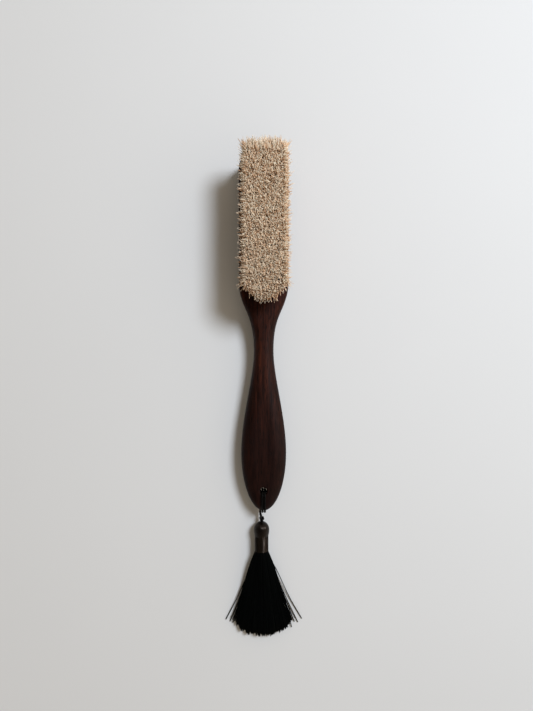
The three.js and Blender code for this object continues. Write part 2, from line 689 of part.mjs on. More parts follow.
const tassel = new THREE.Group();
tassel.position.copy(LIFT_POINT);
tassel.add(piece("hang_cord_tail", FINISHES.cord, cordTail()));
tassel.add(piece("tassel_bead", FINISHES.bead, tasselBead()));
tassel.add(piece("tassel_head_cover", FINISHES.satin, headCover()));
tassel.add(piece("tassel_neck_wrap", FINISHES.satin, neckWrap()));
tassel.add(piece("tassel_skirt", FINISHES.thread, tasselSkirt()));
brush.add(tassel);

export default brush;
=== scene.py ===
"""Looks of the cashmere brush: wood, bristle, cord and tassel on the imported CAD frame.

Sizes are in millimetres, as in the part's source, and become metres where a mesh is made.
"""

import bpy
import numpy as np
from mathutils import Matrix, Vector


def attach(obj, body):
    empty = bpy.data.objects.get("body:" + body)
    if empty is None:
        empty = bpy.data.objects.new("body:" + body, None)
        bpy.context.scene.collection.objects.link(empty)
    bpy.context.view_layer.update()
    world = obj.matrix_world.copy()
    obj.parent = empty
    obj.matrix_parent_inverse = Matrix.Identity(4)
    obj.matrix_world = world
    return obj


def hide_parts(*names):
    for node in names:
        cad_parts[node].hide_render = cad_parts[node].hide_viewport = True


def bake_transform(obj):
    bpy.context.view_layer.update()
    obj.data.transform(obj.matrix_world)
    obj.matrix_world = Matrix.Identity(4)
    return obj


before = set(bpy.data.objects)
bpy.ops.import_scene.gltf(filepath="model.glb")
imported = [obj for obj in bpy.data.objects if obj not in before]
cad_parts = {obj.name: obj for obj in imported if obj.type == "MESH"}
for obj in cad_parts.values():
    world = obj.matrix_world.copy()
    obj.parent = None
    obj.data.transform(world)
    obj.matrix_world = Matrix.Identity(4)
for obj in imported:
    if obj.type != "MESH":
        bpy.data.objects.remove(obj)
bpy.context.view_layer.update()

bl_info = {
    "name": "Cashmere Brush",
    "version": (1, 0, 0),
    "blender": (4, 5, 0),
    "location": "View3D > Sidebar > Cashmere Brush",
    "description": "Builds the looks of a cashmere brush with a tassel on its CAD frame",
    "category": "Add Mesh",
}

MM = 0.001
SEED = 20
QUARTER = np.pi / 2

# Wooden body in plan and from the side
TOE_Y = 115.0
TAIL_Y = -115.0
SHOULDER_Y = 34.0
NECK_Y = -10.5
BULB_Y = -77.5
HEAD_HALF = 16.0
NECK_HALF = 6.4
BULB_HALF = 14.65
TOE_RADIUS = 8.0
TOE_EASE = 2.0
SHOULDER_HOLD = 0.407
NECK_HOLD_UP = 0.581
NECK_HOLD_DOWN = 0.273
BULB_HOLD = 0.358
FACE_Z = 16.0
HANDLE_THICKNESS = 12.0
TAIL_THICKNESS = 9.0
MID_Z = 9.0
TAIL_NOSE = 5.0
TOP_EDGE = 1.6
BACK_EDGE = 2.2
ROUND_WIDTH = 9.0
WIDEST_ROUND = 0.85
TALLEST_ROUND = 0.48

# Hanging hole
HOLE_Y = -101.5
HOLE_RADIUS = 2.4
HOLE_EASE = 0.5
HOLE_RIM_RISE = 4.75
HOLE_CUT_RISE = 6.5

# Tufts, and the inlaid cover behind them
ROW_PITCH = 5.5
OUTER_ROW_X = 11.0
COLUMN_PITCH = 5.72
FIRST_COLUMN_Y = 109.8
COLUMNS = 16
SHORT_COLUMNS = 1
TUFT_HOLE_RADIUS = 1.6
BANK_COUNT = 4
ROOT_Z = 10.0
FIELD_HALF = 13.15
FIELD_SHIFT = 0.9
FIELD_TURN_Y = 33.0
FIELD_END_Y = 21.0
FIELD_TOE_Y = 88.0
FIELD_TOE_RUN = 24.0
FIELD_TOE_REACH = 2.4
FIELD_TOE_ROUND = 1.6
EDGE_BAND = 3.0
TOE_EDGE_Y = 108.0
TOE_EDGE_BAND = 6.0
TOE_LEAN = 1.2
COVER_HALF = 13.1
COVER_TOE_Y = 111.9
COVER_TURN_Y = 29.72
COVER_END_Y = 19.9
COVER_CORNER = 4.0
COVER_THICKNESS = 3.0
RECESS_GAP = 0.3
RECESS_FLOOR_Z = 5.7

# Hairs: how their locks stand, and how far single hairs stray
LOCK_LEAN = (0.2, 3.0)
EDGE_LEAN = 1.6
TOP_UNEVEN = 3.2
NEEDLE_LENGTH = (5.0, 8.0)
STRAY_SHARE = 0.1
USUAL_SPLAY = 0.8
FAR_SPLAY = (0.5, 3.5)
MOST_SPLAY = 4.2
LOOSE_SPREAD = 1.2
ROOT_REACH = 1.9
ROOT_SPREAD = 0.12
KNEE_SPREAD = 0.25
TIP_SPREAD = 0.12

# Cord
CORD_DIAMETER = 1.3
CORD_PLIES = {"plies": 3, "ply_depth": 0.16, "lay": 4.4}
CORD_SWELL = 1.08
KNOT_STRAND = 0.62
END_STRAND = 0.55
END_DROP = 1.5
ROUTE_ORIGIN = np.array([0.0, HOLE_Y, MID_Z])
HITCH_ROUTE = np.array([
    [-2.4, -15.2, -5.1],
    [-2.2, -13.5, -5.6],
    [-1.75, -11.9, -5.85],
    [-1.2, -10.4, -5.75],
    [-0.9, -8.8, -5.55],
    [-0.75, -7, -5.35],
    [-0.75, -5, -5.5],
    [-0.75, -2.9, -5.75],
    [-0.75, -1.72, -5.44],
    [-0.75, -0.87, -4.58],
    [-0.75, -0.55, -3.4],
    [-0.75, -0.5, -1.5],
    [-0.75, -0.5, 1.5],
    [-0.75, -0.55, 3.4],
    [-0.75, -0.87, 4.58],
    [-0.75, -1.72, 5.44],
    [-0.75, -2.9, 5.75],
    [-0.75, -5, 5.5],
    [-0.75, -8, 5.35],
    [-0.75, -10.9, 4.85],
    [-0.75, -12.9, 3.55],
    [-0.8, -14.1, 1.6],
    [-0.8, -14.25, -0.8],
    [-1, -13.5, -2.85],
    [-2.3, -11.7, -4.4],
    [-2.9, -9.6, -5.4],
    [-2.1, -7.4, -6.75],
    [0, -6.4, -7.05],
    [2.1, -7.4, -6.75],
    [2.9, -9.6, -5.4],
    [2.3, -11.7, -4.4],
    [1, -13.5, -2.85],
    [0.8, -14.25, -0.8],
    [0.8, -14.1, 1.6],
    [0.75, -12.9, 3.55],
    [0.75, -10.9, 4.85],
    [0.75, -8, 5.35],
    [0.75, -5, 5.5],
    [0.75, -2.9, 5.75],
    [0.75, -1.72, 5.44],
    [0.75, -0.87, 4.58],
    [0.75, -0.55, 3.4],
    [0.75, -0.5, 1.5],
    [0.75, -0.5, -1.5],
    [0.75, -0.55, -3.4],
    [0.75, -0.87, -4.58],
    [0.75, -1.72, -5.44],
    [0.75, -2.9, -5.75],
    [0.75, -5, -5.5],
    [0.75, -7, -5.35],
    [0.8, -8.6, -5.75],
    [0.5, -10.2, -6.6],
    [-0.4, -11.8, -7.3],
    [-1.5, -13.3, -7.3],
    [-2.3, -15.2, -6.7],
])
SWAY_POINT = np.array([-2.3, -118.4, 3.4])
LIFT_POINT = np.array([-1.4, -121.7, 5.05])
STRAND_OFFSET = 0.42
TWIST_TURNS = 0.25

# Tassel, along -Y from the point where it turns
HEAD_RADIUS = 5.05
HEAD_DOME = 5.4
BEAD_Y = -128.9
WAIST_Y = -133.3
WAIST_RADIUS = 4.35
BORE_RADIUS = 1.4
SOCKET_RADIUS = 2.3
CAVITY_RADIUS = 4.1
STOP_KNOT_Y = -135.9
WRAP_TOP_Y = -133.1
WRAP_END_Y = -143.2
WRAP_RADIUS = 4.5
STEM_RADIUS = 3.5
STEM_TOP_Y = -139.0
SKIRT_TOP_Y = -143.45
SKIRT_LENGTH = 55.0
SKIRT_TOP_RADIUS = 4.4
SKIRT_HEM_HALF = 19.5
SKIRT_HEM_HEIGHT = 2.5
HEM_ROUND = 8.5
FAN_CURVE = 0.8
HEM_CURVE = 3
HEM_SHIFT = 1.0
SAG_RATE = 2.2
WINDING_OVERLAP = 2.0
WRAP_TUCK = 0.6
HEM_STEPS = 110
STRAYS = np.array([
    [[-5.5, -148.0], [-11.9, -162.0], [-18.6, -177.5], [-25.4, -190.7]],
    [[-5.2, -147.5], [-11.6, -163.0], [-17.2, -178.5], [-22.6, -192.0]],
    [[-5.0, -148.0], [-11.8, -165.0], [-16.8, -181.0], [-20.8, -192.8]],
    [[3.4, -146.5], [8.6, -156.5], [17.2, -175.5], [25.5, -190.0]],
    [[3.2, -147.0], [8.4, -160.0], [15.6, -177.0], [22.9, -192.4]],
    [[3.0, -147.5], [8.8, -163.0], [15.2, -179.0], [20.5, -192.0]],
    [[3.2, -147.0], [10.0, -166.0], [15.0, -182.0], [18.6, -195.6]],
])
WARM_GLOSS = "#ffe4d2"

# Camera of the photograph, and the table
CAMERA_PLACE = (1.83, -14.0, 344.0)
CAMERA_LENS = 25.97
TABLE_HALF = 1500.0


# Numbers and arrays


def linear(code):
    """Linear red, green and blue of an sRGB colour written as #rrggbb."""
    srgb = np.array([int(code[i : i + 2], 16) for i in (1, 3, 5)]) / 255.0
    return np.where(srgb <= 0.04045, srgb / 12.92, ((srgb + 0.055) / 1.055) ** 2.4).tolist()


def mix(start, end, share):
    """The value that lies a share of the way from start to end."""
    return start + (end - start) * share


def smooth(share):
    """A share held between 0 and 1 that starts and ends gently: 3 t squared less 2 t cubed."""
    held = np.clip(share, 0.0, 1.0)
    return held * held * (3.0 - 2.0 * held)


def unit(vectors):
    """Vectors of the same directions with length 1."""
    return vectors / np.linalg.norm(vectors, axis=-1, keepdims=True)


def curve_through(points, per_span):
    """Points on a smooth curve through the given points.

    Each span is a Hermite cubic whose end slopes are those of a centripetal Catmull-Rom curve, and
    past both ends the neighbouring point is mirrored.
    """
    p = np.vstack([2 * points[0] - points[1], points, 2 * points[-1] - points[-2]])
    step = np.sqrt(np.linalg.norm(np.diff(p, axis=0), axis=1))[:, None]
    slope = np.diff(p, axis=0) / step
    across = (p[2:] - p[:-2]) / (step[:-1] + step[1:])
    tangent = slope[:-1] - across + slope[1:]
    t = np.linspace(0.0, 1.0, per_span, endpoint=False)[None, :, None]
    run = step[1:-1][:, None]
    start = p[1:-2][:, None]
    end = p[2:-1][:, None]
    leave = tangent[:-1][:, None] * run
    arrive = tangent[1:][:, None] * run
    spans = (
        start * (2 * t**3 - 3 * t**2 + 1)
        + leave * (t**3 - 2 * t**2 + t)
        + end * (3 * t**2 - 2 * t**3)
        + arrive * (t**3 - t**2)
    )
    return np.vstack([spans.reshape(-1, 3), points[-1:]])


def evenly(points, spacing):
    """The same line with its points a fixed distance apart, and the distance gone at each."""
    gone = np.concatenate([[0.0], np.cumsum(np.linalg.norm(np.diff(points, axis=0), axis=1))])
    at = np.linspace(0.0, gone[-1], int(gone[-1] / spacing) + 2)
    return np.column_stack([np.interp(at, gone, points[:, k]) for k in range(3)]), at


def carried_frames(path):
    """Two directions across a path at each point, carried along it without rolling about it."""
    along = unit(np.gradient(path, axis=0))
    side = np.empty_like(path)
    side[0] = unit(np.cross(along[0], np.eye(3)[np.argmin(np.abs(along[0]))]))
    for i in range(1, len(path)):
        side[i] = unit(side[i - 1] - along[i] * (side[i - 1] @ along[i]))
    return side, np.cross(along, side)


# Meshes


def skin(rows, columns, wraps=False):
    """Quads between rows of points that close round, and from the last row to the first if it wraps."""
    row = np.arange(rows if wraps else rows - 1)[:, None] * columns
    after = (row + columns) % (rows * columns)
    here = np.arange(columns)[None, :]
    following = (here + 1) % columns
    return np.stack([row + here, row + following, after + following, after + here], -1).reshape(-1, 4)


def loft(rings):
    """Points, quads and end fans of rings, each counter-clockwise about the way that they run."""
    rows, columns = rings.shape[:2]
    points = np.vstack([rings.reshape(-1, 3), rings[0].mean(0), rings[-1].mean(0)])
    here = np.arange(columns)
    following = (here + 1) % columns
    last = (rows - 1) * columns
    start_hub = np.full(columns, rows * columns)
    start = np.column_stack([start_hub, following, here])
    end = np.column_stack([start_hub + 1, last + here, last + following])
    return points, skin(rows, columns), np.vstack([start, end])


def copies(shape, places):
    """One shape's points and faces at many places."""
    points, quads, triangles = shape
    count = len(places)
    shift = np.arange(count)[:, None, None] * len(points)
    moved = (points[None] + places[:, None]).reshape(-1, 3)
    return moved, (quads[None] + shift).reshape(-1, 4), (triangles[None] + shift).reshape(-1, 3)


def joined(shapes):
    """Several shapes' points and faces as one shape."""
    points, quads, triangles = zip(*shapes)
    shifts = np.cumsum([0] + [len(values) for values in points])
    return (
        np.vstack(points),
        np.vstack([faces + shift for faces, shift in zip(quads, shifts)]),
        np.vstack([faces + shift for faces, shift in zip(triangles, shifts)]),
    )


def tube(path, radius, sides, plies=0, ply_depth=0.0, lay=1.0):
    """A closed tube round a path, with the plies of a twisted cord if it has any.

    The distance from the path is the radius, less the ply depth times one minus the cosine of the
    ply count times the angle, and the whole section makes one turn in each lay of the path.
    """
    side, up = carried_frames(path)
    gone = np.concatenate([[0.0], np.cumsum(np.linalg.norm(np.diff(path, axis=0), axis=1))])
    angle = np.linspace(0.0, 2 * np.pi, sides, endpoint=False)[None, :]
    turned = angle + (2 * np.pi * gone / lay)[:, None]
    out = (radius - ply_depth * (1 - np.cos(plies * angle)) / 2)[..., None]
    rings = path[:, None] + out * (
        side[:, None] * np.cos(turned)[..., None] + up[:, None] * np.sin(turned)[..., None]
    )
    return loft(rings)


def strands(lines, radii, roll):
    """Many thin three-sided tubes at once, closed at both ends.

    Lines holds the points of each strand's middle, radii its thickness at each of them, and roll
    an angle for each strand. Each ring is a triangle square to the line.
    """
    count, rings = lines.shape[:2]
    along = unit(np.gradient(lines, axis=1))
    side = unit(np.cross(along, [1.0, 0.0, 0.0]))
    up = np.cross(along, side)
    angle = roll[:, None, None] + np.linspace(0.0, 2 * np.pi, 3, endpoint=False)
    out = radii[:, :, None, None]
    points = lines[:, :, None] + out * (
        side[:, :, None] * np.cos(angle)[..., None] + up[:, :, None] * np.sin(angle)[..., None]
    )
    shift = np.arange(count)[:, None, None] * rings * 3
    quads = (skin(rings, 3)[None] + shift).reshape(-1, 4)
    last = (rings - 1) * 3
    caps = np.array([[2, 1, 0], [last, last + 1, last + 2]])
    return points.reshape(-1, 3), quads, (caps[None] + shift).reshape(-1, 3)


def make_piece(name, shape, material, **values):
    """A smooth object from points in millimetres and faces, with a value for each point by name."""
    points, quads, triangles = shape
    mesh = bpy.data.meshes.new(name)
    mesh.vertices.add(len(points))
    mesh.vertices.foreach_set("co", (points * MM).astype(np.float32).ravel())
    corners = np.concatenate([quads.ravel(), triangles.ravel()]).astype(np.int32)
    mesh.loops.add(len(corners))
    mesh.loops.foreach_set("vertex_index", corners)
    starts = np.concatenate([
        np.arange(len(quads)) * 4,
        len(quads) * 4 + np.arange(len(triangles)) * 3,
    ])
    mesh.polygons.add(len(starts))
    mesh.polygons.foreach_set("loop_start", starts.astype(np.int32))
    mesh.update(calc_edges=True)
    mesh.shade_smooth()
    for key, value in values.items():
        attribute = mesh.attributes.new(key, "FLOAT", "POINT")
        attribute.data.foreach_set("value", np.asarray(value, np.float32).ravel())
    if material:
        mesh.materials.append(material)
    piece = bpy.data.objects.new(name, mesh)
    bpy.context.scene.collection.objects.link(piece)
    return piece


def cut(piece, cutter):
    """Takes the cutter's volume out of a piece and removes the cutter."""
    modifier = piece.modifiers.new("Cut", "BOOLEAN")
    modifier.operation = "DIFFERENCE"
    modifier.solver = "EXACT"
    modifier.object = cutter
    graph = bpy.context.evaluated_depsgraph_get()
    made = bpy.data.meshes.new_from_object(piece.evaluated_get(graph))
    if len(made.vertices) <= len(piece.data.vertices):
        raise RuntimeError(f"the cut in {piece.name} took nothing away")
    piece.modifiers.clear()
    piece.data = made
    bpy.data.objects.remove(cutter)


# Materials


def add_node(tree, kind, inputs=None, **settings):
    """Adds a node, applies its settings, and links or sets each of its inputs.

    Inputs 1 to 4 of a MapRange node are the ranges that it takes and gives, and inputs 6 and 7 and
    output 2 of a Mix node are colours.
    """
    node = tree.nodes.new("ShaderNode" + kind)
    for key, value in settings.items():
        setattr(node, key, value)
    for key, value in (inputs or {}).items():
        if isinstance(value, bpy.types.NodeSocket):
            tree.links.new(value, node.inputs[key])
        else:
            node.inputs[key].default_value = value
    return node


def new_material(name):
    """A material and its node tree, which is empty."""
    material = bpy.data.materials.new(name)
    material.use_nodes = True
    material.node_tree.nodes.clear()
    return material, material.node_tree


def surface(tree, inputs):
    """Ends a material's tree with one principled shader."""
    shader = add_node(tree, "BsdfPrincipled", inputs)
    add_node(tree, "OutputMaterial", {"Surface": shader.outputs["BSDF"]})


def opaque(colour, strength=1.0):
    """Red, green, blue and alpha of a linear colour times a strength."""
    return (*(strength * value for value in colour), 1.0)


def pattern(tree, cell, detail=3.0, roughness=0.55):
    """Noise in the object's own coordinates, whose cells have a size in millimetres along each axis."""
    place = add_node(tree, "TexCoord")
    scale = [1 / (size * MM) for size in cell]
    scaled = add_node(tree, "Mapping", {"Vector": place.outputs["Object"], "Scale": scale})
    inputs = {"Vector": scaled.outputs[0], "Scale": 1.0, "Detail": detail, "Roughness": roughness}
    return add_node(tree, "TexNoise", inputs).outputs[0]


def wood_material(settings):
    """Dark oiled hardwood: streaks along the grain, open pores, and a satin, uneven sheen."""
    material, tree = new_material("Oiled dark hardwood")
    dark = opaque(settings.wood_dark)
    red = opaque(settings.wood_red)
    # Narrow streaks along the handle, redder and darker by turns, and redder towards the neck
    streaks = pattern(tree, (1.282, 23.81, 1.282), 6.0, 0.68)
    streaked = add_node(tree, "MapRange", {0: streaks, 1: 0.34, 2: 0.68})
    place = add_node(tree, "TexCoord").outputs["Object"]
    along = add_node(tree, "SeparateXYZ", {0: place}).outputs["Y"]
    neck = add_node(tree, "MapRange", {0: along, 1: -70 * MM, 2: -20 * MM, 3: 0.3})
    share = add_node(tree, "Math", {0: streaked.outputs[0], 1: neck.outputs[0]}, operation="MULTIPLY")
    grain = add_node(tree, "Mix", {0: share.outputs[0], 6: dark, 7: red}, data_type="RGBA")
    # Broad bands where the heartwood shows
    broad = pattern(tree, (10.53, 90.91, 10.53), 2.0)
    bands = add_node(tree, "MapRange", {0: broad, 1: 0.38, 2: 0.66, 4: 0.75})
    banded = add_node(tree, "Mix", {0: bands.outputs[0], 6: grain.outputs[2], 7: dark}, data_type="RGBA")
    # Pores: short dark dashes, drawn coarser than real ones so that they show
    fine = pattern(tree, (0.3846, 6.667, 0.3846), 2.0)
    dashes = add_node(tree, "MapRange", {0: fine, 1: 0.55, 2: 0.66})
    inputs = {0: dashes.outputs[0], 6: banded.outputs[2], 7: opaque(settings.wood_dark, 0.35)}
    pores = add_node(tree, "Mix", inputs, data_type="RGBA")
    height = add_node(tree, "MapRange", {0: dashes.outputs[0], 3: 1.0, 4: 0.0})
    bump = add_node(tree, "Bump", {"Height": height.outputs[0], "Distance": 0.06 * MM, "Strength": 0.7})
    sheen = add_node(tree, "MapRange", {0: streaks, 1: 0.3, 2: 0.7, 3: 0.38, 4: 0.54})
    surface(tree, {
        "Base Color": pores.outputs[2],
        "Roughness": sheen.outputs[0],
        "Normal": bump.outputs[0],
        "Specular IOR Level": 0.1,
    })
    return material


def bristle_material(settings):
    """Natural hair: each hair its own beige, faintly mottled, with a soft gloss, and painted shade that
    turns it brown below its tip, standing for the shade deep among the hairs.
    """
    material, tree = new_material("Natural bristle")
    dark = opaque(settings.bristle_dark)
    pale = opaque(settings.bristle_pale)
    tone = add_node(tree, "Attribute", attribute_name="tone").outputs["Fac"]
    paleness = add_node(tree, "MapRange", {0: tone, 1: 0.2, 2: 0.7, 3: 0.32})
    hair = add_node(tree, "Mix", {0: paleness.outputs[0], 6: dark, 7: pale}, data_type="RGBA")
    # Painted shade: below the upper three quarters of its needle each hair turns nearly to the dark hair
    # colour, standing for the shade deep in the bristle
    along = add_node(tree, "Attribute", attribute_name="along").outputs["Fac"]
    painted_depth_shade = add_node(tree, "MapRange", {0: along, 1: 0.25, 3: 0.05})
    painted_shade_shaft = add_node(tree, "Mix", {0: painted_depth_shade.outputs[0], 6: dark, 7: hair.outputs[2]}, data_type="RGBA")
    specks = pattern(tree, (0.3846, 0.3846, 2.381))
    mottled = add_node(tree, "MapRange", {0: specks, 1: 0.3, 2: 0.7, 4: 0.15})
    colour = add_node(tree, "Mix", {0: mottled.outputs[0], 6: painted_shade_shaft.outputs[2], 7: dark}, data_type="RGBA")
    surface(tree, {"Base Color": colour.outputs[2], "Roughness": 0.4, "Specular IOR Level": 0.5})
    return material


def thread_material(name, colour, roughness, specular, relief, tint="#ffffff"):
    """Black thread: fine fibres that run uneven in tone and height, with a gloss of a given tint."""
    material, tree = new_material(name)
    # Fibres are drawn about ten times as coarse as real ones, so that they show
    fibres = pattern(tree, (0.1923, 1.111, 0.1923))
    tone = add_node(tree, "MapRange", {0: fibres, 1: 0.35, 2: 0.72})
    inputs = {0: tone.outputs[0], 6: opaque(colour), 7: opaque(colour, 2.2)}
    uneven = add_node(tree, "Mix", inputs, data_type="RGBA")
    inputs = {0: fibres, 1: 0.3, 2: 0.7, 3: 0.8 * roughness, 4: 1.25 * roughness}
    spread = add_node(tree, "MapRange", inputs)
    bump = add_node(tree, "Bump", {"Height": fibres, "Distance": 0.02 * MM, "Strength": relief})
    surface(tree, {
        "Base Color": uneven.outputs[2],
        "Roughness": spread.outputs[0],
        "Normal": bump.outputs[0],
        "Specular IOR Level": specular,
        "Specular Tint": opaque(linear(tint)),
    })
    return material


def wire_material():
    """Drawn brass wire: warm metal with fine die lines along it."""
    material, tree = new_material("Drawn brass wire")
    lines = pattern(tree, (0.1111, 16.67, 0.1111), 2.0)
    inputs = {0: lines, 6: opaque(linear("#8f6f3c")), 7: opaque(linear("#c9a765"))}
    brass = add_node(tree, "Mix", inputs, data_type="RGBA")
    sheen = add_node(tree, "MapRange", {0: lines, 1: 0.3, 2: 0.7, 3: 0.25, 4: 0.45})
    surface(tree, {"Base Color": brass.outputs[2], "Roughness": sheen.outputs[0], "Metallic": 1.0})
    return material


def bead_material():
    """Bare turned wood: pale, dull, with rings left by the lathe."""
    material, tree = new_material("Bare turned wood")
    rings = pattern(tree, (3.333, 0.3846, 3.333))
    inputs = {0: rings, 6: opaque(linear("#b08c58")), 7: opaque(linear("#d9bd8d"))}
    pale = add_node(tree, "Mix", inputs, data_type="RGBA")
    dull = add_node(tree, "MapRange", {0: rings, 1: 0.3, 2: 0.7, 3: 0.55, 4: 0.75})
    bump = add_node(tree, "Bump", {"Height": rings, "Distance": 0.05 * MM, "Strength": 0.5})
    surface(tree, {
        "Base Color": pale.outputs[2],
        "Roughness": dull.outputs[0],
        "Normal": bump.outputs[0],
        "Specular IOR Level": 0.25,
    })
    return material


def table_material(colour):
    """Pale painted table: almost even, with a faint cloudiness and a fine matt tooth."""
    material, tree = new_material("Pale painted table")
    cloud = pattern(tree, (142.9, 142.9, 142.9))
    inputs = {0: cloud, 6: opaque(colour, 0.97), 7: opaque(colour)}
    paint = add_node(tree, "Mix", inputs, data_type="RGBA")
    # The tooth is drawn coarser than that of real paint, so that it shows
    tooth = pattern(tree, (1.111, 1.111, 1.111), 2.0)
    matt = add_node(tree, "MapRange", {0: tooth, 1: 0.3, 2: 0.7, 3: 0.6, 4: 0.75})
    bump = add_node(tree, "Bump", {"Height": tooth, "Distance": 0.03 * MM, "Strength": 0.3})
    surface(tree, {
        "Base Color": paint.outputs[2],
        "Roughness": matt.outputs[0],
        "Normal": bump.outputs[0],
        "Specular IOR Level": 0.2,
    })
    return material


# Wooden pieces


def s_curve(start, end, leave, arrive, t):
    """Half-widths and places at the shares t of a cubic Bezier curve that starts and ends along Y."""
    (x0, y0), (x1, y1) = start, end
    corners = np.array([(x0, y0), (x0, mix(y0, y1, leave)), (x1, mix(y1, y0, arrive)), (x1, y1)])
    s = t[:, None]
    weights = [(1 - s) ** 3, 3 * s * (1 - s) ** 2, 3 * s**2 * (1 - s), s**3]
    return sum(weight * corner for weight, corner in zip(weights, corners))


def wood_stations():
    """Place along the wood, half-width and inset of each cross-section from the toe to the tail.

    The toe has round corners in plan and an eased end, the head is straight, two S curves lead
    through the neck to the bulb, and the tail is half an ellipse.
    """
    ease = np.linspace(0.0, QUARTER, 12, endpoint=False)
    corner = np.linspace(np.arccos(1 - TOE_EASE / TOE_RADIUS), QUARTER, 14)
    back = np.concatenate([TOE_EASE * (1 - np.cos(ease)), TOE_RADIUS * (1 - np.cos(corner))])
    inset = np.concatenate([TOE_EASE * (1 - np.sin(ease)), np.zeros(len(corner))])
    toe_half = HEAD_HALF - TOE_RADIUS + np.sqrt(back * (2 * TOE_RADIUS - back)) - inset
    head_y = np.linspace(TOE_Y - TOE_RADIUS, SHOULDER_Y, 14)[1:-1]
    share = np.linspace(0.0, 1.0, 56)
    neck = (NECK_HALF, NECK_Y)
    shoulder = s_curve((HEAD_HALF, SHOULDER_Y), neck, SHOULDER_HOLD, NECK_HOLD_UP, share)
    bulb = s_curve(neck, (BULB_HALF, BULB_Y), NECK_HOLD_DOWN, BULB_HOLD, share[1:])
    turn = np.linspace(0.0, np.radians(89.3), 44)[1:]
    tail_y = BULB_Y + (TAIL_Y - BULB_Y) * np.sin(turn)
    y = np.concatenate([TOE_Y - back, head_y, shoulder[:, 1], bulb[:, 1], tail_y])
    half = np.concatenate([
        toe_half,
        np.full(len(head_y), HEAD_HALF),
        shoulder[:, 0],
        bulb[:, 0],
        BULB_HALF * np.cos(turn),
    ])
    return y, half, np.concatenate([inset, np.zeros(len(y) - len(inset))])


def wood_rings(steps=12):
    """Cross-sections of the wood: boxes with elliptical corners, flat above and below.

    The top comes down to the handle along the shoulder and the back rises past the cover's end,
    both as smooth steps, while the corners grow from small edges to most of the section.
    """
    y, half_width, inset = (values[:, None] for values in wood_stations())
    handle = smooth((SHOULDER_Y - y) / (SHOULDER_Y - NECK_Y))
    lifted = smooth((COVER_END_Y - y) / (COVER_END_Y - NECK_Y))
    taper = smooth((BULB_Y - y) / (BULB_Y - TAIL_Y - TAIL_NOSE))
    nose = np.clip((TAIL_Y + TAIL_NOSE - y) / TAIL_NOSE, 0.0, 1.0)
    half = mix(HANDLE_THICKNESS, TAIL_THICKNESS, taper) / 2 * np.sqrt(1 - nose**2)
    bottom = mix(0.0, MID_Z - half, lifted) + inset
    top = mix(FACE_Z, MID_Z + half, handle) - inset
    widest = np.minimum(ROUND_WIDTH, WIDEST_ROUND * half_width)
    tallest = TALLEST_ROUND * (top - bottom)
    quarter = np.repeat(np.arange(4), steps + 1)[None, :]
    angle = (quarter + np.tile(np.arange(steps + 1) / steps, 4)[None, :]) * QUARTER
    upper = quarter < 2
    edge = np.where(upper, TOP_EDGE, BACK_EDGE)
    share = np.where(upper, handle, lifted)
    rx = mix(edge, widest, share)
    rz = mix(edge, tallest, share)
    side = np.where((quarter == 0) | (quarter == 3), 1.0, -1.0)
    x = side * (half_width - rx) + rx * np.cos(angle)
    z = np.where(upper, top - rz, bottom + rz) + rz * np.sin(angle)
    return np.stack([x, np.broadcast_to(y, x.shape), z], -1)


def cover_rings(levels):
    """Outlines of the inlaid cover, each grown by a gap, at given heights.

    The outline has small corners at the toe and half an ellipse towards the neck.
    """
    turn = np.linspace(0.0, QUARTER, 9)
    round_end = np.linspace(np.pi, 2 * np.pi, 33)
    rings = []
    for grow, z in levels:
        half = COVER_HALF + grow
        corner = COVER_CORNER + grow
        corner_y = COVER_TOE_Y + grow - corner
        depth = COVER_TURN_Y - COVER_END_Y + grow
        x = np.concatenate([
            half - corner + corner * np.cos(turn),
            corner - half + corner * np.cos(turn + QUARTER),
            half * np.cos(round_end),
        ])
        y = np.concatenate([
            corner_y + corner * np.sin(turn),
            corner_y + corner * np.sin(turn + QUARTER),
            COVER_TURN_Y + depth * np.sin(round_end),
        ])
        rings.append(np.column_stack([x, y, np.full(len(x), z)]))
    return np.array(rings)


def upright_spool(profile, sides):
    """A solid turned about Z from pairs of radius and height, lowest first."""
    angle = np.linspace(0.0, 2 * np.pi, sides, endpoint=False)
    radius, height = (np.array(column)[:, None] for column in zip(*profile))
    x = radius * np.cos(angle)
    return loft(np.stack([x, radius * np.sin(angle), np.broadcast_to(height, x.shape)], -1))


def tuft_centres():
    """Centres of the tufts, and the bank that each belongs to, from the toe."""
    rows = np.arange(-OUTER_ROW_X, OUTER_ROW_X + 1, ROW_PITCH)
    column, x = np.meshgrid(np.arange(COLUMNS), rows, indexing="ij")
    kept = (column < COLUMNS - SHORT_COLUMNS) | (np.abs(x) < OUTER_ROW_X)
    y = FIRST_COLUMN_Y - COLUMN_PITCH * column
    return np.column_stack([x[kept], y[kept]]), column[kept] * BANK_COUNT // COLUMNS


def hole_cutters():
    """Solids of the tuft holes and of the hanging hole, whose rims are eased."""
    centres = tuft_centres()[0]
    places = np.column_stack([centres, np.zeros(len(centres))])
    tuft_hole = upright_spool([(TUFT_HOLE_RADIUS, COVER_THICKNESS), (TUFT_HOLE_RADIUS, FACE_Z + 1)], 14)
    holes = copies(tuft_hole, places)
    turn = np.linspace(0.0, QUARTER, 6)
    flare = HOLE_RADIUS + HOLE_EASE * (1 - np.cos(turn))
    reach = HOLE_RIM_RISE - HOLE_EASE * (1 - np.sin(turn))
    upper = [(HOLE_RADIUS + HOLE_EASE, HOLE_CUT_RISE), *zip(flare[::-1], reach[::-1])]
    profile = [(r, MID_Z - z) for r, z in upper] + [(r, MID_Z + z) for r, z in reversed(upper)]
    hang = copies(upright_spool(profile, 40), np.array([[0.0, HOLE_Y, 0.0]]))
    return joined([holes, hang])


# Bristle


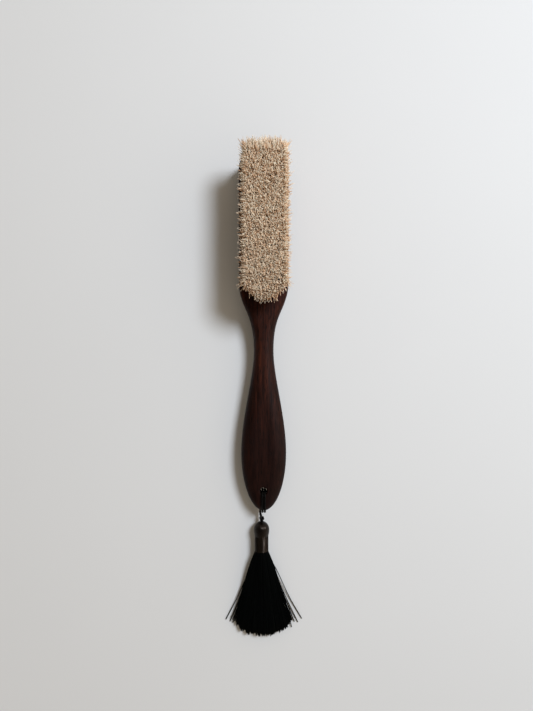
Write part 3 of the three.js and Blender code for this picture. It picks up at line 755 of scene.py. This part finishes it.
def tip_field(tufts, across, rng):
    """Places of the tips of the tufts' locks, and the way out at the field's edges.

    Each tuft's share of the field is split into cells, as many along as across, and a tip lies
    somewhere in each. The field is wider than the rows of tufts and longer at the toe, and its end at
    the neck is half an ellipse, to which the last tuft of each row is stretched. All tips are shifted a
    little to the right.
    """
    number = np.tile(np.arange(across**2), len(tufts))
    centre = np.repeat(tufts, across**2, axis=0)
    cell = np.column_stack([number % across, number // across]) + rng.uniform(0.05, 0.95, centre.shape)
    x, y = (centre + (cell / across - 0.5) * [ROW_PITCH, COLUMN_PITCH]).T
    x = x * FIELD_HALF / (OUTER_ROW_X + ROW_PITCH / 2)
    short = np.where(np.abs(centre[:, 0]) > OUTER_ROW_X - 1, SHORT_COLUMNS, 0)
    parting = FIRST_COLUMN_Y - COLUMN_PITCH * (COLUMNS - 1.5 - short)
    round_end = np.sqrt(1 - np.minimum(1.0, (x / FIELD_HALF) ** 2))
    end = FIELD_TURN_Y - (FIELD_TURN_Y - FIELD_END_Y) * round_end
    stretched = parting - (parting - y) * (parting - end) / COLUMN_PITCH
    y = np.where(y < parting, stretched, y)
    toe = smooth((y - FIELD_TOE_Y) / FIELD_TOE_RUN)
    y = y + toe * (FIELD_TOE_REACH - FIELD_TOE_ROUND * (x / FIELD_HALF) ** 4)
    out_x = np.sign(x) * smooth((np.abs(x) - FIELD_HALF + EDGE_BAND) / EDGE_BAND)
    to_toe = TOE_LEAN * smooth((y - TOE_EDGE_Y) / TOE_EDGE_BAND)
    to_neck = smooth((end + EDGE_BAND - y) / EDGE_BAND)
    return centre, np.column_stack([x + FIELD_SHIFT, y]), np.column_stack([out_x, to_toe - to_neck])


def hair_lines(tufts, settings, rng):
    """Middles of the hairs of some tufts, their tones and their thickness.

    Hairs stand in locks that narrow towards their tips. Each hair runs straight from its root to a
    knee near the top, and from there as a straight needle that leans with its lock to one side. At
    the edges of the field the needles lean out, a few of them far, and what leans ends lower.
    """
    hairs = settings.hairs_per_lock
    centre, tip, outward = tip_field(tufts, settings.locks_across, rng)
    count = len(centre)
    heading = (tip - centre) / ROW_PITCH
    turn = rng.uniform(0.0, 2 * np.pi, count)
    lean = rng.uniform(*LOCK_LEAN, count)[:, None] * np.column_stack([np.cos(turn), np.sin(turn)])
    edge = np.minimum(1.0, np.linalg.norm(outward, axis=1))[:, None]
    lean = lean * (1 - 0.8 * edge) + EDGE_LEAN * outward
    top = FACE_Z + settings.bristle_length / MM - rng.uniform(0.0, TOP_UNEVEN, count)
    needle = rng.uniform(*NEEDLE_LENGTH, count)

    total = count * hairs
    of_locks = (centre, heading, tip, outward, lean, top, needle)
    of_hairs = (np.repeat(values, hairs, axis=0) for values in of_locks)
    centre, heading, tip, outward, lean, top, needle = of_hairs
    place = rng.normal(0.0, 1.0, (total, 2))
    far = (rng.uniform(size=total) < STRAY_SHARE) * rng.uniform(*FAR_SPLAY, total)
    splay = outward * np.minimum(MOST_SPLAY, rng.exponential(USUAL_SPLAY, total) + far)[:, None]
    loose = (rng.uniform(size=(total, 1)) < STRAY_SHARE) * rng.normal(0.0, LOOSE_SPREAD, (total, 2))
    root = centre + ROOT_REACH * heading + ROOT_SPREAD * place
    knee = tip - lean + KNEE_SPREAD * place + 0.2 * splay
    tip = tip + TIP_SPREAD * place + splay + loose
    top = top - 0.25 * np.linalg.norm(place, axis=1)
    top = top - np.hypot(needle, np.linalg.norm(tip - knee, axis=1)) + needle
    flat = np.stack([root, knee, tip], 1)
    height = np.column_stack([np.full(total, ROOT_Z), top - needle, top])
    lines = np.concatenate([flat, height[..., None]], -1)
    tone = 0.65 * np.repeat(rng.uniform(0.0, 1.0, count), hairs) + 0.35 * rng.uniform(0.0, 1.0, total)
    radii = settings.hair_width / MM / 2 * np.broadcast_to([1.0, 1.0, 0.95], height.shape)
    return lines, tone, radii


# Cord


def drop_strand(sign):
    """Points of one of the two strands between the hitch and the knot, from the hitch.

    The strands lie opposite each other about the line between the two turning points, one above the
    other at the hitch, wind round it, and draw together inside the knot.
    """
    forward = unit(LIFT_POINT - SWAY_POINT)
    side = unit(np.cross([0.0, 0.0, 1.0], forward))
    up = np.cross(forward, side)
    share = np.array([0.12, 0.32, 0.52, 0.72, 0.9])[:, None]
    angle = 2 * np.pi * TWIST_TURNS * share
    away = STRAND_OFFSET * (1 - 0.8 * smooth((share - 0.2) / 0.6))
    middle = SWAY_POINT + (LIFT_POINT - SWAY_POINT) * share
    return middle + sign * away * (up * np.cos(angle) - side * np.sin(angle))


def cord_path():
    """The whole cord from the knot up one strand, round the hitch and down the other strand."""
    points = np.vstack([
        drop_strand(1.0)[::-1],
        HITCH_ROUTE + ROUTE_ORIGIN,
        drop_strand(-1.0),
    ])
    return evenly(curve_through(points, per_span=12), spacing=0.25)


def knot_path(centre, axis, size):
    """A closed overhand knot: a trefoil curve about an axis through its centre.

    Across the axis it runs as the sine of t plus twice that of 2t, and the cosine of t less twice that
    of 2t. Along the axis it rises and falls as the sine of 3t.
    """
    t = np.linspace(0.0, 2 * np.pi, 91)
    along = unit(np.array(axis, float))
    side = unit(np.cross(along, [1.0, 0.0, 0.0]))
    up = np.cross(along, side)
    flat_x = np.sin(t) + 2 * np.sin(2 * t)
    flat_y = np.cos(t) - 2 * np.cos(2 * t)
    rise = -2.4 * np.sin(3 * t)
    return centre + size * (flat_x[:, None] * side + flat_y[:, None] * up + rise[:, None] * along)


# Tassel


def turned_thread(profile, ridges, per_ridge, depth):
    """A closed ring turned about the tassel's axis, with lengthwise ridges of thread.

    Profile holds radius, place along Y and a ridge weight. The radius falls by the depth times the
    weight times one minus the size of the sine of half the ridge angle.
    """
    angle = np.linspace(0.0, 2 * np.pi, ridges * per_ridge, endpoint=False)[None, :]
    radius, y, weight = (column[:, None] for column in np.array(profile).T)
    lobe = 1 - np.abs(np.sin(ridges * angle / 2))
    out = radius - depth * weight * lobe
    x = LIFT_POINT[0] + out * np.cos(angle)
    z = LIFT_POINT[2] + out * np.sin(angle)
    points = np.stack([x, np.broadcast_to(y, x.shape), z], -1).reshape(-1, 3)
    return points, skin(len(profile), angle.shape[1], wraps=True), np.zeros((0, 3), int)


def head_profile():
    """Radius, place and ridge weight round the tassel's head cover: outside down, cavity up.

    The dome is part of an ellipse, the waist narrows as the square of the way down, and the cavity is
    part of a circle.
    """
    mouth = np.arcsin(BORE_RADIUS / HEAD_RADIUS)
    turn = np.linspace(mouth, QUARTER, 22)
    dome = np.column_stack([
        HEAD_RADIUS * np.sin(turn),
        BEAD_Y + HEAD_DOME * np.cos(turn),
        smooth((turn - mouth) / 0.5),
    ])
    share = np.linspace(0.0, 1.0, 12)[1:]
    waist = np.column_stack([
        mix(HEAD_RADIUS, WAIST_RADIUS, share**2),
        mix(BEAD_Y, WAIST_Y, share),
        np.ones(len(share)),
    ])
    low = -np.arccos(SOCKET_RADIUS / CAVITY_RADIUS)
    high = np.arccos(BORE_RADIUS / CAVITY_RADIUS)
    bowl = np.linspace(low, high, 12)
    cavity = np.column_stack([
        CAVITY_RADIUS * np.cos(bowl),
        BEAD_Y + CAVITY_RADIUS * np.sin(bowl),
        np.zeros(len(bowl)),
    ])
    return np.vstack([dome, waist, [[SOCKET_RADIUS, WAIST_Y, 0.0]], cavity])


def wrap_path(turns, thread):
    """A close helix round the neck, with both ends tucked in under it."""
    share = np.linspace(0.0, 1.0, turns * 44 + 1)
    angle = 2 * np.pi * turns * share
    tuck = np.minimum(share, 1 - share) * turns
    radius = WRAP_RADIUS - thread / 2 - WRAP_TUCK * (1 - smooth(tuck / 0.3))
    y = mix(WRAP_TOP_Y - thread / 2, WRAP_END_Y + thread / 2, share)
    return np.column_stack([
        LIFT_POINT[0] + radius * np.cos(angle),
        y,
        LIFT_POINT[2] + radius * np.sin(angle),
    ])


def skirt_place(across, height, share):
    """Where a thread of the skirt lies, from its place in the bundle and its share of the length.

    Across and height run from -1 to 1 over the bundle. The bundle widens as a power of the share,
    flattens and sinks to the table as smooth steps, and its sides lag behind so the hem is round.
    """
    half_width = mix(SKIRT_TOP_RADIUS, SKIRT_HEM_HALF, share**FAN_CURVE)
    half_height = mix(SKIRT_TOP_RADIUS, SKIRT_HEM_HEIGHT, smooth(share))
    centre = mix(LIFT_POINT[2], half_height, smooth(SAG_RATE * share))
    y = SKIRT_TOP_Y - SKIRT_LENGTH * share + HEM_ROUND * share**2 * np.abs(across) ** HEM_CURVE
    x = LIFT_POINT[0] + HEM_SHIFT * share**2 + half_width * across
    return np.stack([x, y, centre + half_height * height], -1)


def skirt_lines(count, thread, rng):
    """Middles of the skirt's threads, from inside the wound neck to a ragged hem.

    Threads crowd towards the outside of the bundle. The hem is longer and shorter by turns across it,
    and each thread drifts aside as a power of its share and wanders a little as a sine.
    """
    turn = rng.uniform(0.0, 2 * np.pi, count)
    out = rng.uniform(0.0, 1.0, count) ** 0.42
    across = (out * np.cos(turn))[:, None]
    height = (0.93 * out * np.sin(turn))[:, None]
    share = np.linspace(0.0, 1.0, 9)[None, :]
    ragged = rng.uniform(-0.026, 0.03, HEM_STEPS)
    astray = rng.normal(0.0, 0.045, (count, 1))
    longest = 1.0 + np.interp(across + astray, np.linspace(-1.2, 1.2, HEM_STEPS), ragged)
    longest += rng.normal(0.0, 0.004, (count, 1))
    drift = astray * share**1.5
    wave = rng.uniform(0.0, 2 * np.pi, (count, 1))
    wander = 0.012 * np.sin(wave + 5.0 * share) * share
    below = skirt_place(across + drift + wander, height * (1 - 0.1 * np.abs(drift)), share * longest)
    stem = np.concatenate([
        LIFT_POINT[0] + STEM_RADIUS * across,
        np.full((count, 1), STEM_TOP_Y),
        LIFT_POINT[2] + STEM_RADIUS * height,
    ], 1)[:, None]
    lines = np.concatenate([stem, below], 1)
    lines[..., 2] = np.maximum(lines[..., 2], thread / 2)
    return lines


def stray_lines(width):
    """Middles of the loose threads that leave the skirt's sides and lie on the table."""
    lines = []
    for number, flat in enumerate(STRAYS):
        height = np.array([5.0, 3.0, 1.2, width / 2 + 0.1 * number])
        dense = curve_through(np.column_stack([flat, height]), 8)
        lines.append(evenly(dense, 1.0)[0])
    share = np.linspace(0.0, 1.0, 10)
    at = [np.linspace(0.0, 1.0, len(line)) for line in lines]
    columns = [[np.interp(share, a, line[:, k]) for k in range(3)] for a, line in zip(at, lines)]
    return np.transpose(np.array(columns), (0, 2, 1))


# Settings


class BrushSettings(bpy.types.PropertyGroup):
    """Colours and sizes of the wood and the bristle."""

    wood_dark: bpy.props.FloatVectorProperty(
        name="Dark wood",
        description="Colour of the wood between its streaks",
        subtype="COLOR",
        default=linear("#120605"),
    )
    wood_red: bpy.props.FloatVectorProperty(
        name="Red wood",
        description="Colour of the wood's redder streaks",
        subtype="COLOR",
        default=linear("#411e13"),
    )
    bristle_pale: bpy.props.FloatVectorProperty(
        name="Pale hair",
        description="Colour of the palest hairs",
        subtype="COLOR",
        default=linear("#fff5e0"),
    )
    # The dark hair colour is also the colour of the painted shade deep down each hair
    bristle_dark: bpy.props.FloatVectorProperty(
        name="Dark hair",
        description="Colour of the darkest hairs",
        subtype="COLOR",
        default=linear("#c68d52"),
    )
    bristle_length: bpy.props.FloatProperty(
        name="Bristle length",
        description="How far the longest hairs stand above the wood",
        default=22.0 * MM,
        min=5.0 * MM,
        max=40.0 * MM,
        unit="LENGTH",
        precision=4,
    )
    hair_width: bpy.props.FloatProperty(
        name="Hair width",
        description="Thickness of a hair at its root",
        default=0.29 * MM,
        min=0.05 * MM,
        max=0.5 * MM,
        unit="LENGTH",
        precision=5,
    )
    locks_across: bpy.props.IntProperty(
        name="Locks across a tuft",
        description="How many locks of hair stand side by side in each tuft, both ways",
        default=8,
        min=2,
        max=8,
    )
    hairs_per_lock: bpy.props.IntProperty(
        name="Hairs in a lock",
        description="How many hairs each lock has",
        default=10,
        min=1,
        max=10,
    )


class TasselSettings(bpy.types.PropertyGroup):
    """Colours and sizes of the cord and the tassel."""

    cord_colour: bpy.props.FloatVectorProperty(
        name="Cord",
        description="Colour of the hanging cord",
        subtype="COLOR",
        default=linear("#030303"),
    )
    satin_colour: bpy.props.FloatVectorProperty(
        name="Satin thread",
        description="Colour of the thread on the tassel's head and neck",
        subtype="COLOR",
        default=linear("#040303"),
    )
    skirt_colour: bpy.props.FloatVectorProperty(
        name="Skirt thread",
        description="Colour of the tassel's loose threads",
        subtype="COLOR",
        default=linear("#020303"),
    )
    wrap_turns: bpy.props.IntProperty(
        name="Neck turns",
        description="How many times the thread is wound round the neck",
        default=36,
        min=4,
        max=40,
    )
    thread_count: bpy.props.IntProperty(
        name="Skirt threads",
        description="How many threads the skirt has",
        default=2200,
        min=100,
        max=3500,
    )
    thread_width: bpy.props.FloatProperty(
        name="Thread width",
        description="Thickness of a thread of the skirt",
        default=0.34 * MM,
        min=0.1 * MM,
        max=0.8 * MM,
        unit="LENGTH",
        precision=5,
    )


class StageSettings(bpy.types.PropertyGroup):
    """Colours and light of the table that the brush lies on."""

    table_colour: bpy.props.FloatVectorProperty(
        name="Table",
        description="Colour of the table",
        subtype="COLOR",
        default=linear("#dddddd"),
    )
    window_power: bpy.props.FloatProperty(
        name="Window light",
        description="Power of the soft light from the upper right",
        default=16.4,
        min=0.0,
        max=100.0,
        unit="POWER",
    )
    room_light: bpy.props.FloatProperty(
        name="Room light",
        description="Brightness of the light from the room's walls",
        default=0.62,
        min=0.0,
        max=4.0,
    )


# Operators


class CASHMERE_OT_stage(bpy.types.Operator):
    """Lays out the table, the light and the camera of the photograph"""

    bl_idname = "cashmere_brush.stage"
    bl_label = "Table, Light and Camera"

    def execute(self, context):
        scene = context.scene
        settings = scene.brush_stage
        scene.view_settings.view_transform = "Standard"
        lens = bpy.data.cameras.new("Camera")
        lens.lens = CAMERA_LENS
        camera = bpy.data.objects.new("Camera", lens)
        camera.location = Vector(CAMERA_PLACE) * MM
        scene.collection.objects.link(camera)
        scene.camera = camera

        window = bpy.data.lights.new("Window", "AREA")
        window.shape = "DISK"
        window.size = 0.48
        window.energy = settings.window_power
        window.color = (0.92, 1.0, 1.1)
        lamp = bpy.data.objects.new("Window", window)
        lamp.location = (0.697, 0.507, 1.103)
        lamp.rotation_euler = lamp.location.to_track_quat("Z", "Y").to_euler()
        scene.collection.objects.link(lamp)

        # Walls are bright, most to the right, and the ceiling dark as the square of the rise
        world = bpy.data.worlds.new("Room")
        world.use_nodes = True
        tree = world.node_tree
        tree.nodes.clear()
        place = add_node(tree, "TexCoord")
        way = add_node(tree, "SeparateXYZ", {0: place.outputs["Generated"]}).outputs
        square = add_node(tree, "Math", {0: way["Z"], 1: way["Z"]}, operation="MULTIPLY").outputs[0]
        bright = settings.room_light
        level = add_node(tree, "MapRange", {0: square, 3: bright, 4: bright / 9}).outputs[0]
        right = add_node(tree, "MapRange", {0: way["X"], 1: -1.0, 3: 0.3, 4: 1.7}).outputs[0]
        strength = add_node(tree, "Math", {0: level, 1: right}, operation="MULTIPLY").outputs[0]
        walls = add_node(tree, "Background", {"Color": (1.15, 1.0, 0.8, 1.0), "Strength": strength})
        add_node(tree, "OutputWorld", {"Surface": walls.outputs[0]})
        scene.world = world

        corners = np.array([[-1, -1, 0], [1, -1, 0], [1, 1, 0], [-1, 1, 0]]) * TABLE_HALF
        flat = (corners, np.array([[0, 1, 2, 3]]), np.zeros((0, 3), int))
        make_piece("table", flat, table_material(settings.table_colour))
        return {"FINISHED"}


class CASHMERE_OT_cord(bpy.types.Operator):
    """Ties the hanging cord: its hitch through the handle, its drop, its knot and its end"""

    bl_idname = "cashmere_brush.cord"
    bl_label = "Hanging Cord"

    def execute(self, context):
        settings = context.scene.brush_tassel
        material = thread_material("Twisted black cord", settings.cord_colour, 0.38, 0.08, 0.5)
        radius = CORD_SWELL * CORD_DIAMETER / 2
        path, gone = cord_path()
        cord = make_piece("hang_cord", tube(path, radius, 18, **CORD_PLIES), material)
        knot_line = knot_path(LIFT_POINT, LIFT_POINT - SWAY_POINT, size=0.4)
        knot = make_piece("hang_cord_knot", tube(knot_line, KNOT_STRAND, 12, **CORD_PLIES), material)
        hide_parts("hang_cord_hitch", "hang_cord_drop")
        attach(knot, "cord_drop")
        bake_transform(cord)

        # The end inside the head: both strands wound one and a half times, and the knot that stops them
        top = LIFT_POINT - [0.0, END_DROP, 0.0]
        stop = np.array([LIFT_POINT[0], STOP_KNOT_Y, LIFT_POINT[2]])
        share = np.linspace(0.0, 1.0, 41)[:, None]
        angle = 3 * np.pi * share
        around = END_STRAND * np.concatenate([np.cos(angle), 0 * angle, np.sin(angle)], 1)
        middle = mix(top, stop, share)
        shapes = [tube(middle + s * around, END_STRAND, 10, **CORD_PLIES) for s in (-1, 1)]
        stop_line = knot_path(stop, (0, 1, 0), size=0.42)
        shapes.append(tube(stop_line, KNOT_STRAND, 10, **CORD_PLIES))
        tail = make_piece("hang_cord_end", joined(shapes), material)
        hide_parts("hang_cord_tail")
        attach(tail, "tassel")
        return {"FINISHED"}


class CASHMERE_OT_wood(bpy.types.Operator):
    """Shapes the wooden body with its holes, and the cover inlaid in its back"""

    bl_idname = "cashmere_brush.wood"
    bl_label = "Wood"

    def execute(self, context):
        material = wood_material(context.scene.brush_body)
        body = make_piece("wooden_body", loft(wood_rings()), material)
        recess = cover_rings([(RECESS_GAP, -1.0), (RECESS_GAP, RECESS_FLOOR_Z)])
        cut(body, make_piece("recess_cutter", loft(recess), None))
        cut(body, make_piece("hole_cutter", hole_cutters(), None))
        body.data.shade_smooth()
        body.data.set_sharp_from_angle(angle=np.radians(32))
        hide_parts("brush_body")
        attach(body, "brush")

        levels = [(-0.35, 0.0), (-0.1, 0.1), (0.0, 0.35), (0.0, COVER_THICKNESS)]
        cover = make_piece("inlaid_cover", loft(cover_rings(levels)), material)
        cover.data.set_sharp_from_angle(angle=np.radians(50))
        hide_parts("back_cover")
        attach(cover, "brush")
        return {"FINISHED"}


class CASHMERE_OT_bristle(bpy.types.Operator):
    """Sets the hairs of the four banks of tufts"""

    bl_idname = "cashmere_brush.bristle"
    bl_label = "Bristle"

    def execute(self, context):
        settings = context.scene.brush_body
        material = bristle_material(settings)
        rng = np.random.default_rng(SEED)
        centres, banks = tuft_centres()
        for bank in range(BANK_COUNT):
            lines, tone, radii = hair_lines(centres[banks == bank], settings, rng)
            shape = strands(lines, radii, rng.uniform(0.0, 2 * np.pi, len(lines)))
            corners = lines.shape[1] * 3
            tones = np.repeat(tone, corners)
            # Along runs from 0 at the root and the knee to 1 at the tip, and the material paints shade
            # down each hair from it
            along = np.tile(np.repeat([0.0, 0.0, 1.0], 3), len(lines))
            hairs = make_piece(f"bristle_hairs_{bank + 1}", shape, material, tone=tones, along=along)
            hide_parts(f"bristle_bank_{bank + 1}")
            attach(hairs, "brush")
        return {"FINISHED"}


class CASHMERE_OT_tassel_head(bpy.types.Operator):
    """Draws the satin thread over the tassel's head and winds it round the neck"""

    bl_idname = "cashmere_brush.tassel_head"
    bl_label = "Tassel Head and Neck"

    def execute(self, context):
        settings = context.scene.brush_tassel
        colour = settings.satin_colour
        drawn = thread_material("Black satin thread", colour, 0.25, 0.22, 0.15, WARM_GLOSS)
        ridged = turned_thread(head_profile(), ridges=56, per_ridge=7, depth=0.07)
        head = make_piece("tassel_head", ridged, drawn)
        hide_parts("tassel_head_cover")
        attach(head, "tassel")
        thread = WINDING_OVERLAP * (WRAP_TOP_Y - WRAP_END_Y) / settings.wrap_turns
        line = wrap_path(settings.wrap_turns, thread)
        wound = thread_material("Wound satin thread", colour, 0.2, 0.95, 0.1, WARM_GLOSS)
        wrap = make_piece("tassel_neck_winding", tube(line, thread / 2, 8), wound)
        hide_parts("tassel_neck_wrap")
        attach(wrap, "tassel")
        return {"FINISHED"}


class CASHMERE_OT_tassel_skirt(bpy.types.Operator):
    """Lays out the loose threads of the tassel's skirt"""

    bl_idname = "cashmere_brush.tassel_skirt"
    bl_label = "Tassel Skirt"

    def execute(self, context):
        settings = context.scene.brush_tassel
        material = thread_material("Black silky thread", settings.skirt_colour, 0.55, 0.03, 0.5)
        rng = np.random.default_rng(SEED)
        thread = settings.thread_width / MM
        lines = skirt_lines(settings.thread_count, thread, rng)
        strays = stray_lines(2 * thread)
        radii = np.repeat([thread / 2, thread], [len(lines), len(strays)])
        lines = np.concatenate([lines, strays])
        radii = np.repeat(radii[:, None], lines.shape[1], axis=1)
        roll = rng.uniform(0.0, 2 * np.pi, len(lines))
        skirt = make_piece("tassel_threads", strands(lines, radii, roll), material)
        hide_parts("tassel_skirt")
        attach(skirt, "tassel")
        return {"FINISHED"}


class CASHMERE_OT_inside(bpy.types.Operator):
    """Finishes the CAD pieces inside the brush: the draw wires and the tassel's bead"""

    bl_idname = "cashmere_brush.inside"
    bl_label = "Wires and Bead"

    def execute(self, context):
        finishes = {"draw_wire": wire_material(), "tassel_bead": bead_material()}
        for name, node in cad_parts.items():
            for start, material in finishes.items():
                if name.startswith(start):
                    node.data.materials.clear()
                    node.data.materials.append(material)
        return {"FINISHED"}


class CASHMERE_PT_sidebar(bpy.types.Panel):
    """Lists the settings and the steps that build the brush"""

    bl_idname = "CASHMERE_PT_sidebar"
    bl_label = "Cashmere Brush"
    bl_space_type = "VIEW_3D"
    bl_region_type = "UI"
    bl_category = "Cashmere Brush"

    def draw(self, context):
        scene = context.scene
        for group in (scene.brush_body, scene.brush_tassel, scene.brush_stage):
            box = self.layout.box()
            for key in group.__annotations__:
                box.prop(group, key)
        for operator in OPERATORS:
            self.layout.operator(operator.bl_idname)


OPERATORS = (
    CASHMERE_OT_stage,
    CASHMERE_OT_cord,
    CASHMERE_OT_wood,
    CASHMERE_OT_bristle,
    CASHMERE_OT_tassel_head,
    CASHMERE_OT_tassel_skirt,
    CASHMERE_OT_inside,
)
CLASSES = (BrushSettings, TasselSettings, StageSettings, *OPERATORS, CASHMERE_PT_sidebar)


def register():
    """Registers the classes and gives the scene its settings."""
    for cls in CLASSES:
        bpy.utils.register_class(cls)
    bpy.types.Scene.brush_body = bpy.props.PointerProperty(type=BrushSettings)
    bpy.types.Scene.brush_tassel = bpy.props.PointerProperty(type=TasselSettings)
    bpy.types.Scene.brush_stage = bpy.props.PointerProperty(type=StageSettings)


def unregister():
    """Takes the settings and the classes away again."""
    del bpy.types.Scene.brush_stage
    del bpy.types.Scene.brush_tassel
    del bpy.types.Scene.brush_body
    for cls in reversed(CLASSES):
        bpy.utils.unregister_class(cls)


def main():
    """Builds the whole scene."""
    register()
    bpy.ops.cashmere_brush.stage()
    bpy.ops.cashmere_brush.cord()
    bpy.ops.cashmere_brush.wood()
    bpy.ops.cashmere_brush.bristle()
    bpy.ops.cashmere_brush.tassel_head()
    bpy.ops.cashmere_brush.tassel_skirt()
    bpy.ops.cashmere_brush.inside()


if __name__ == "__main__":
    main()
